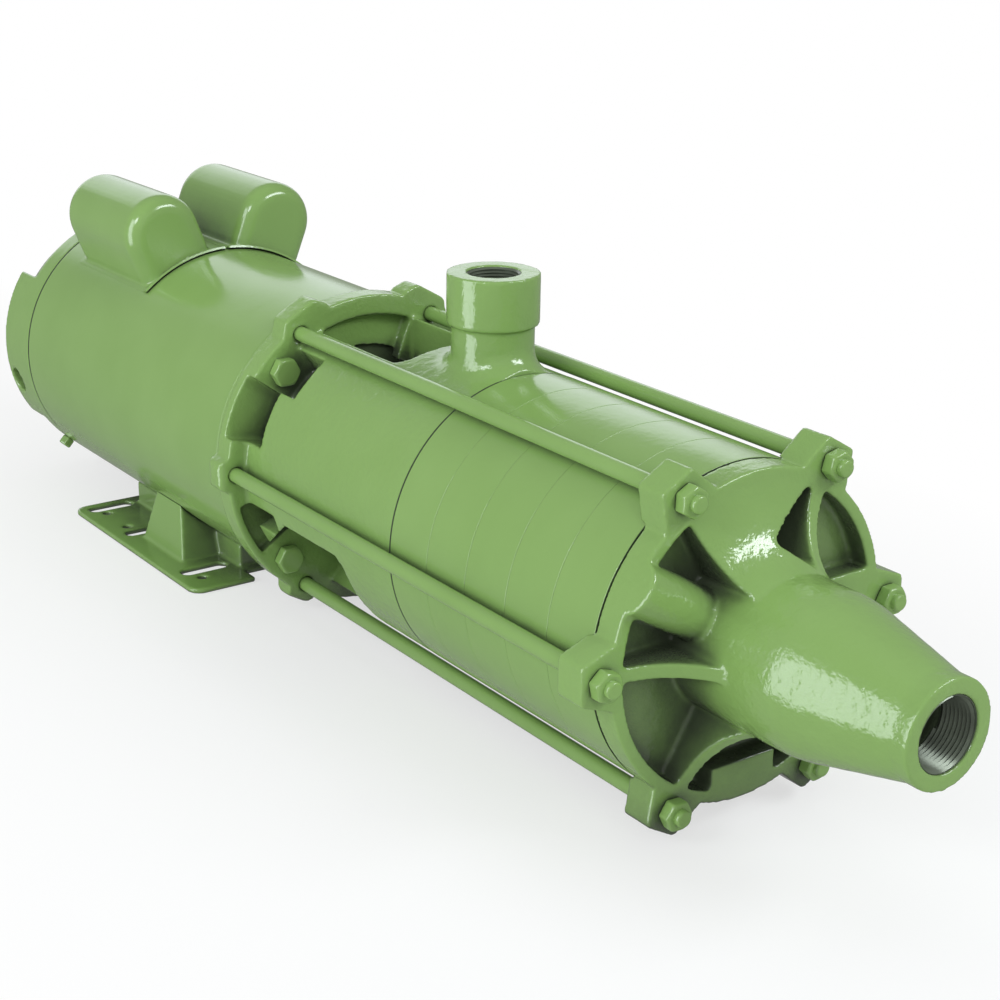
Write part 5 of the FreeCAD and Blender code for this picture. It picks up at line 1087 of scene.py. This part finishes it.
def add_floor(settings):
    """Matt floor that keeps the shadow near the pump and fades into white away from it."""
    reach = settings.floor_reach
    mesh = bpy.data.meshes.new("floor")
    corners = [(-reach, -reach, 0), (reach, -reach, 0), (reach, reach, 0), (-reach, reach, 0)]
    mesh.from_pydata(corners, [], [(0, 1, 2, 3)])
    floor = placed("floor", mesh)
    floor.location.z = -FLOOR_DROP
    material, tree = new_material("matt_white_sweep")
    paper = add_node(tree, "ShaderNodeMix", {
        0: wear_pattern(tree, 400 * MM, 2.0), 6: linear("F4F4F2"), 7: linear("EFEFED")},
        data_type="RGBA")
    matt = add_node(tree, "ShaderNodeBsdfDiffuse", {"Color": paper.outputs[2]})
    glow = add_node(tree, "ShaderNodeEmission", {"Color": linear("FFFFFF"), "Strength": 1.0})
    clear = add_node(tree, "ShaderNodeBsdfTransparent")
    away = distance_from(tree, SHADOW_CENTRE, SHADOW_STRETCH)
    start, end = settings.shadow_reach
    fade = add_node(tree, "ShaderNodeMapRange", {
        "Value": away, "From Min": start, "From Max": end, "To Min": NEAR_GLOW, "To Max": 1.0})
    path = add_node(tree, "ShaderNodeLightPath")
    share = add_node(tree, "ShaderNodeMath", {0: path.outputs["Is Camera Ray"], 1: fade},
                     operation="MULTIPLY")
    seen = add_node(tree, "ShaderNodeMixShader", {0: share, 1: matt, 2: glow})
    # Reflections pass through the floor, so that the side box shows below the level too
    shader = add_node(tree, "ShaderNodeMixShader", {
        0: path.outputs["Is Glossy Ray"], 1: seen, 2: clear})
    add_node(tree, "ShaderNodeOutputMaterial", {"Surface": shader})
    coat(floor, material)


def add_area(name, place, aim, size, watts, mirrored=True):
    light = bpy.data.lights.new(name, "AREA")
    light.shape = "RECTANGLE"
    light.size, light.size_y = size
    light.energy = watts
    light.color = linear("F4FAFF")[:3]
    lamp = placed(name, light)
    lamp.visible_camera = False
    lamp.visible_glossy = mirrored
    lamp.location = place
    lamp.rotation_euler = (Vector(aim) - Vector(place)).to_track_quat("-Z", "Y").to_euler()
    return light


def soften(light):
    """Let a panel's light fall off towards its edges, so that its mirror image has none."""
    light.use_nodes = True
    tree = light.node_tree
    tree.nodes.clear()
    spot = add_node(tree, "ShaderNodeNewGeometry")
    offset = add_node(tree, "ShaderNodeVectorMath", {
        0: spot.outputs["Parametric"], 1: (0.5, 0.5, 0.0)}, operation="SUBTRACT")
    edge = add_node(tree, "ShaderNodeVectorMath", {0: offset}, operation="ABSOLUTE")
    sides = add_node(tree, "ShaderNodeSeparateXYZ", {0: edge})
    falls = [add_node(tree, "ShaderNodeMapRange", {
        "Value": sides.outputs[axis], "From Min": 0.5, "From Max": full, "To Min": 0.0,
        "To Max": 1.0}, interpolation_type="SMOOTHSTEP")
        for axis, full in (("X", 0.33), ("Y", 0.2))]
    share = add_node(tree, "ShaderNodeMath", {0: falls[0], 1: falls[1]}, operation="MULTIPLY")
    glow = add_node(tree, "ShaderNodeEmission", {"Strength": share})
    add_node(tree, "ShaderNodeOutputLight", {"Surface": glow})


def add_lights(settings):
    """Each light's name, place, aim, size and power, and whether surfaces mirror it."""
    middle = (0.2, 0.0, AXIS_Z)
    add_area("side_box", (0.02, -1.5, 0.3), (0.02, 0.0, 0.3), (0.8, 1.6), settings.window)
    add_area("key_high", (0.75, -1.5, 1.15), middle, (0.5, 0.4), settings.key)
    add_area("top_soft", (0.1, 0.2, 1.8), middle, (1.6, 1.2), settings.top, False)
    add_area("fill_right", (1.6, -0.7, 1.0), middle, (1.2, 1.0), settings.fill, False)
    add_area("edge_light", (1.35, 0.7, 1.1), middle, (0.95, 0.3), settings.spark)
    soften(add_area("back_panel", (-1.79, 0.82, 0.8), middle, (2.9, 1.5), settings.back))


def add_surround(scene, strength):
    world = bpy.data.worlds.new("white_surround")
    world.use_nodes = True
    tree = world.node_tree
    tree.nodes.clear()
    path = add_node(tree, "ShaderNodeLightPath")
    level = add_node(tree, "ShaderNodeMapRange", {
        "Value": path.outputs["Is Camera Ray"], "To Min": strength, "To Max": 1.0})
    sky = add_node(tree, "ShaderNodeBackground", {"Color": linear("FFFFFF"), "Strength": level})
    add_node(tree, "ShaderNodeOutputWorld", {"Surface": sky})
    scene.world = world


def add_camera(scene, settings):
    """Camera at the photograph's place: heading, pitch below level and a slight roll."""
    heading, pitch, roll = settings.heading, settings.pitch, settings.roll
    ahead = Vector((math.cos(heading) * math.cos(pitch), math.sin(heading) * math.cos(pitch),
                    -math.sin(pitch)))
    right = ahead.cross(Vector((0, 0, 1))).normalized()
    up = right.cross(ahead)
    side = right * math.cos(roll) + up * math.sin(roll)
    top = up * math.cos(roll) - right * math.sin(roll)
    data = bpy.data.cameras.new("camera")
    data.lens = settings.lens
    data.sensor_width = 36.0
    camera = placed("camera", data)
    turn = Matrix((side, top, -ahead)).transposed().to_4x4()
    camera.matrix_world = Matrix.Translation(Vector(settings.eye)) @ turn
    scene.camera = camera


class PUMP_PT_panel(bpy.types.Panel):
    """Settings and pieces of the pump"""
    bl_idname = "PUMP_PT_panel"
    bl_label = "Multistage Pump"
    bl_space_type = "VIEW_3D"
    bl_region_type = "UI"
    bl_category = "Pump"

    def draw(self, context):
        layout = self.layout
        for name in SETTINGS:
            group = getattr(context.scene, name)
            box = layout.box()
            for key in group.bl_rna.properties.keys():
                if key not in ("rna_type", "name"):
                    box.prop(group, key)
        for operator in OPERATORS:
            layout.operator(operator.bl_idname)


SETTINGS = {
    "pump_enamel": PumpEnamel,
    "pump_castings": PumpCastings,
    "pump_rings": PumpRings,
    "pump_covers": PumpCovers,
    "pump_hardware": PumpHardware,
    "pump_threads": PumpThreads,
    "pump_studio": PumpStudio,
}
OPERATORS = [PUMP_OT_inner_works, PUMP_OT_castings, PUMP_OT_end_shields, PUMP_OT_motor_shell,
             PUMP_OT_covers, PUMP_OT_stage_rings, PUMP_OT_hardware, PUMP_OT_threads,
             PUMP_OT_studio]


def register():
    for group in SETTINGS.values():
        bpy.utils.register_class(group)
    for name, group in SETTINGS.items():
        setattr(bpy.types.Scene, name, PointerProperty(type=group))
    for operator in OPERATORS:
        bpy.utils.register_class(operator)
    bpy.utils.register_class(PUMP_PT_panel)


def unregister():
    bpy.utils.unregister_class(PUMP_PT_panel)
    for operator in reversed(OPERATORS):
        bpy.utils.unregister_class(operator)
    for name, group in reversed(SETTINGS.items()):
        delattr(bpy.types.Scene, name)
        bpy.utils.unregister_class(group)


def main():
    register()
    for operator in OPERATORS:
        group, name = operator.bl_idname.split(".")
        getattr(getattr(bpy.ops, group), name)()


if __name__ == "__main__":
    main()
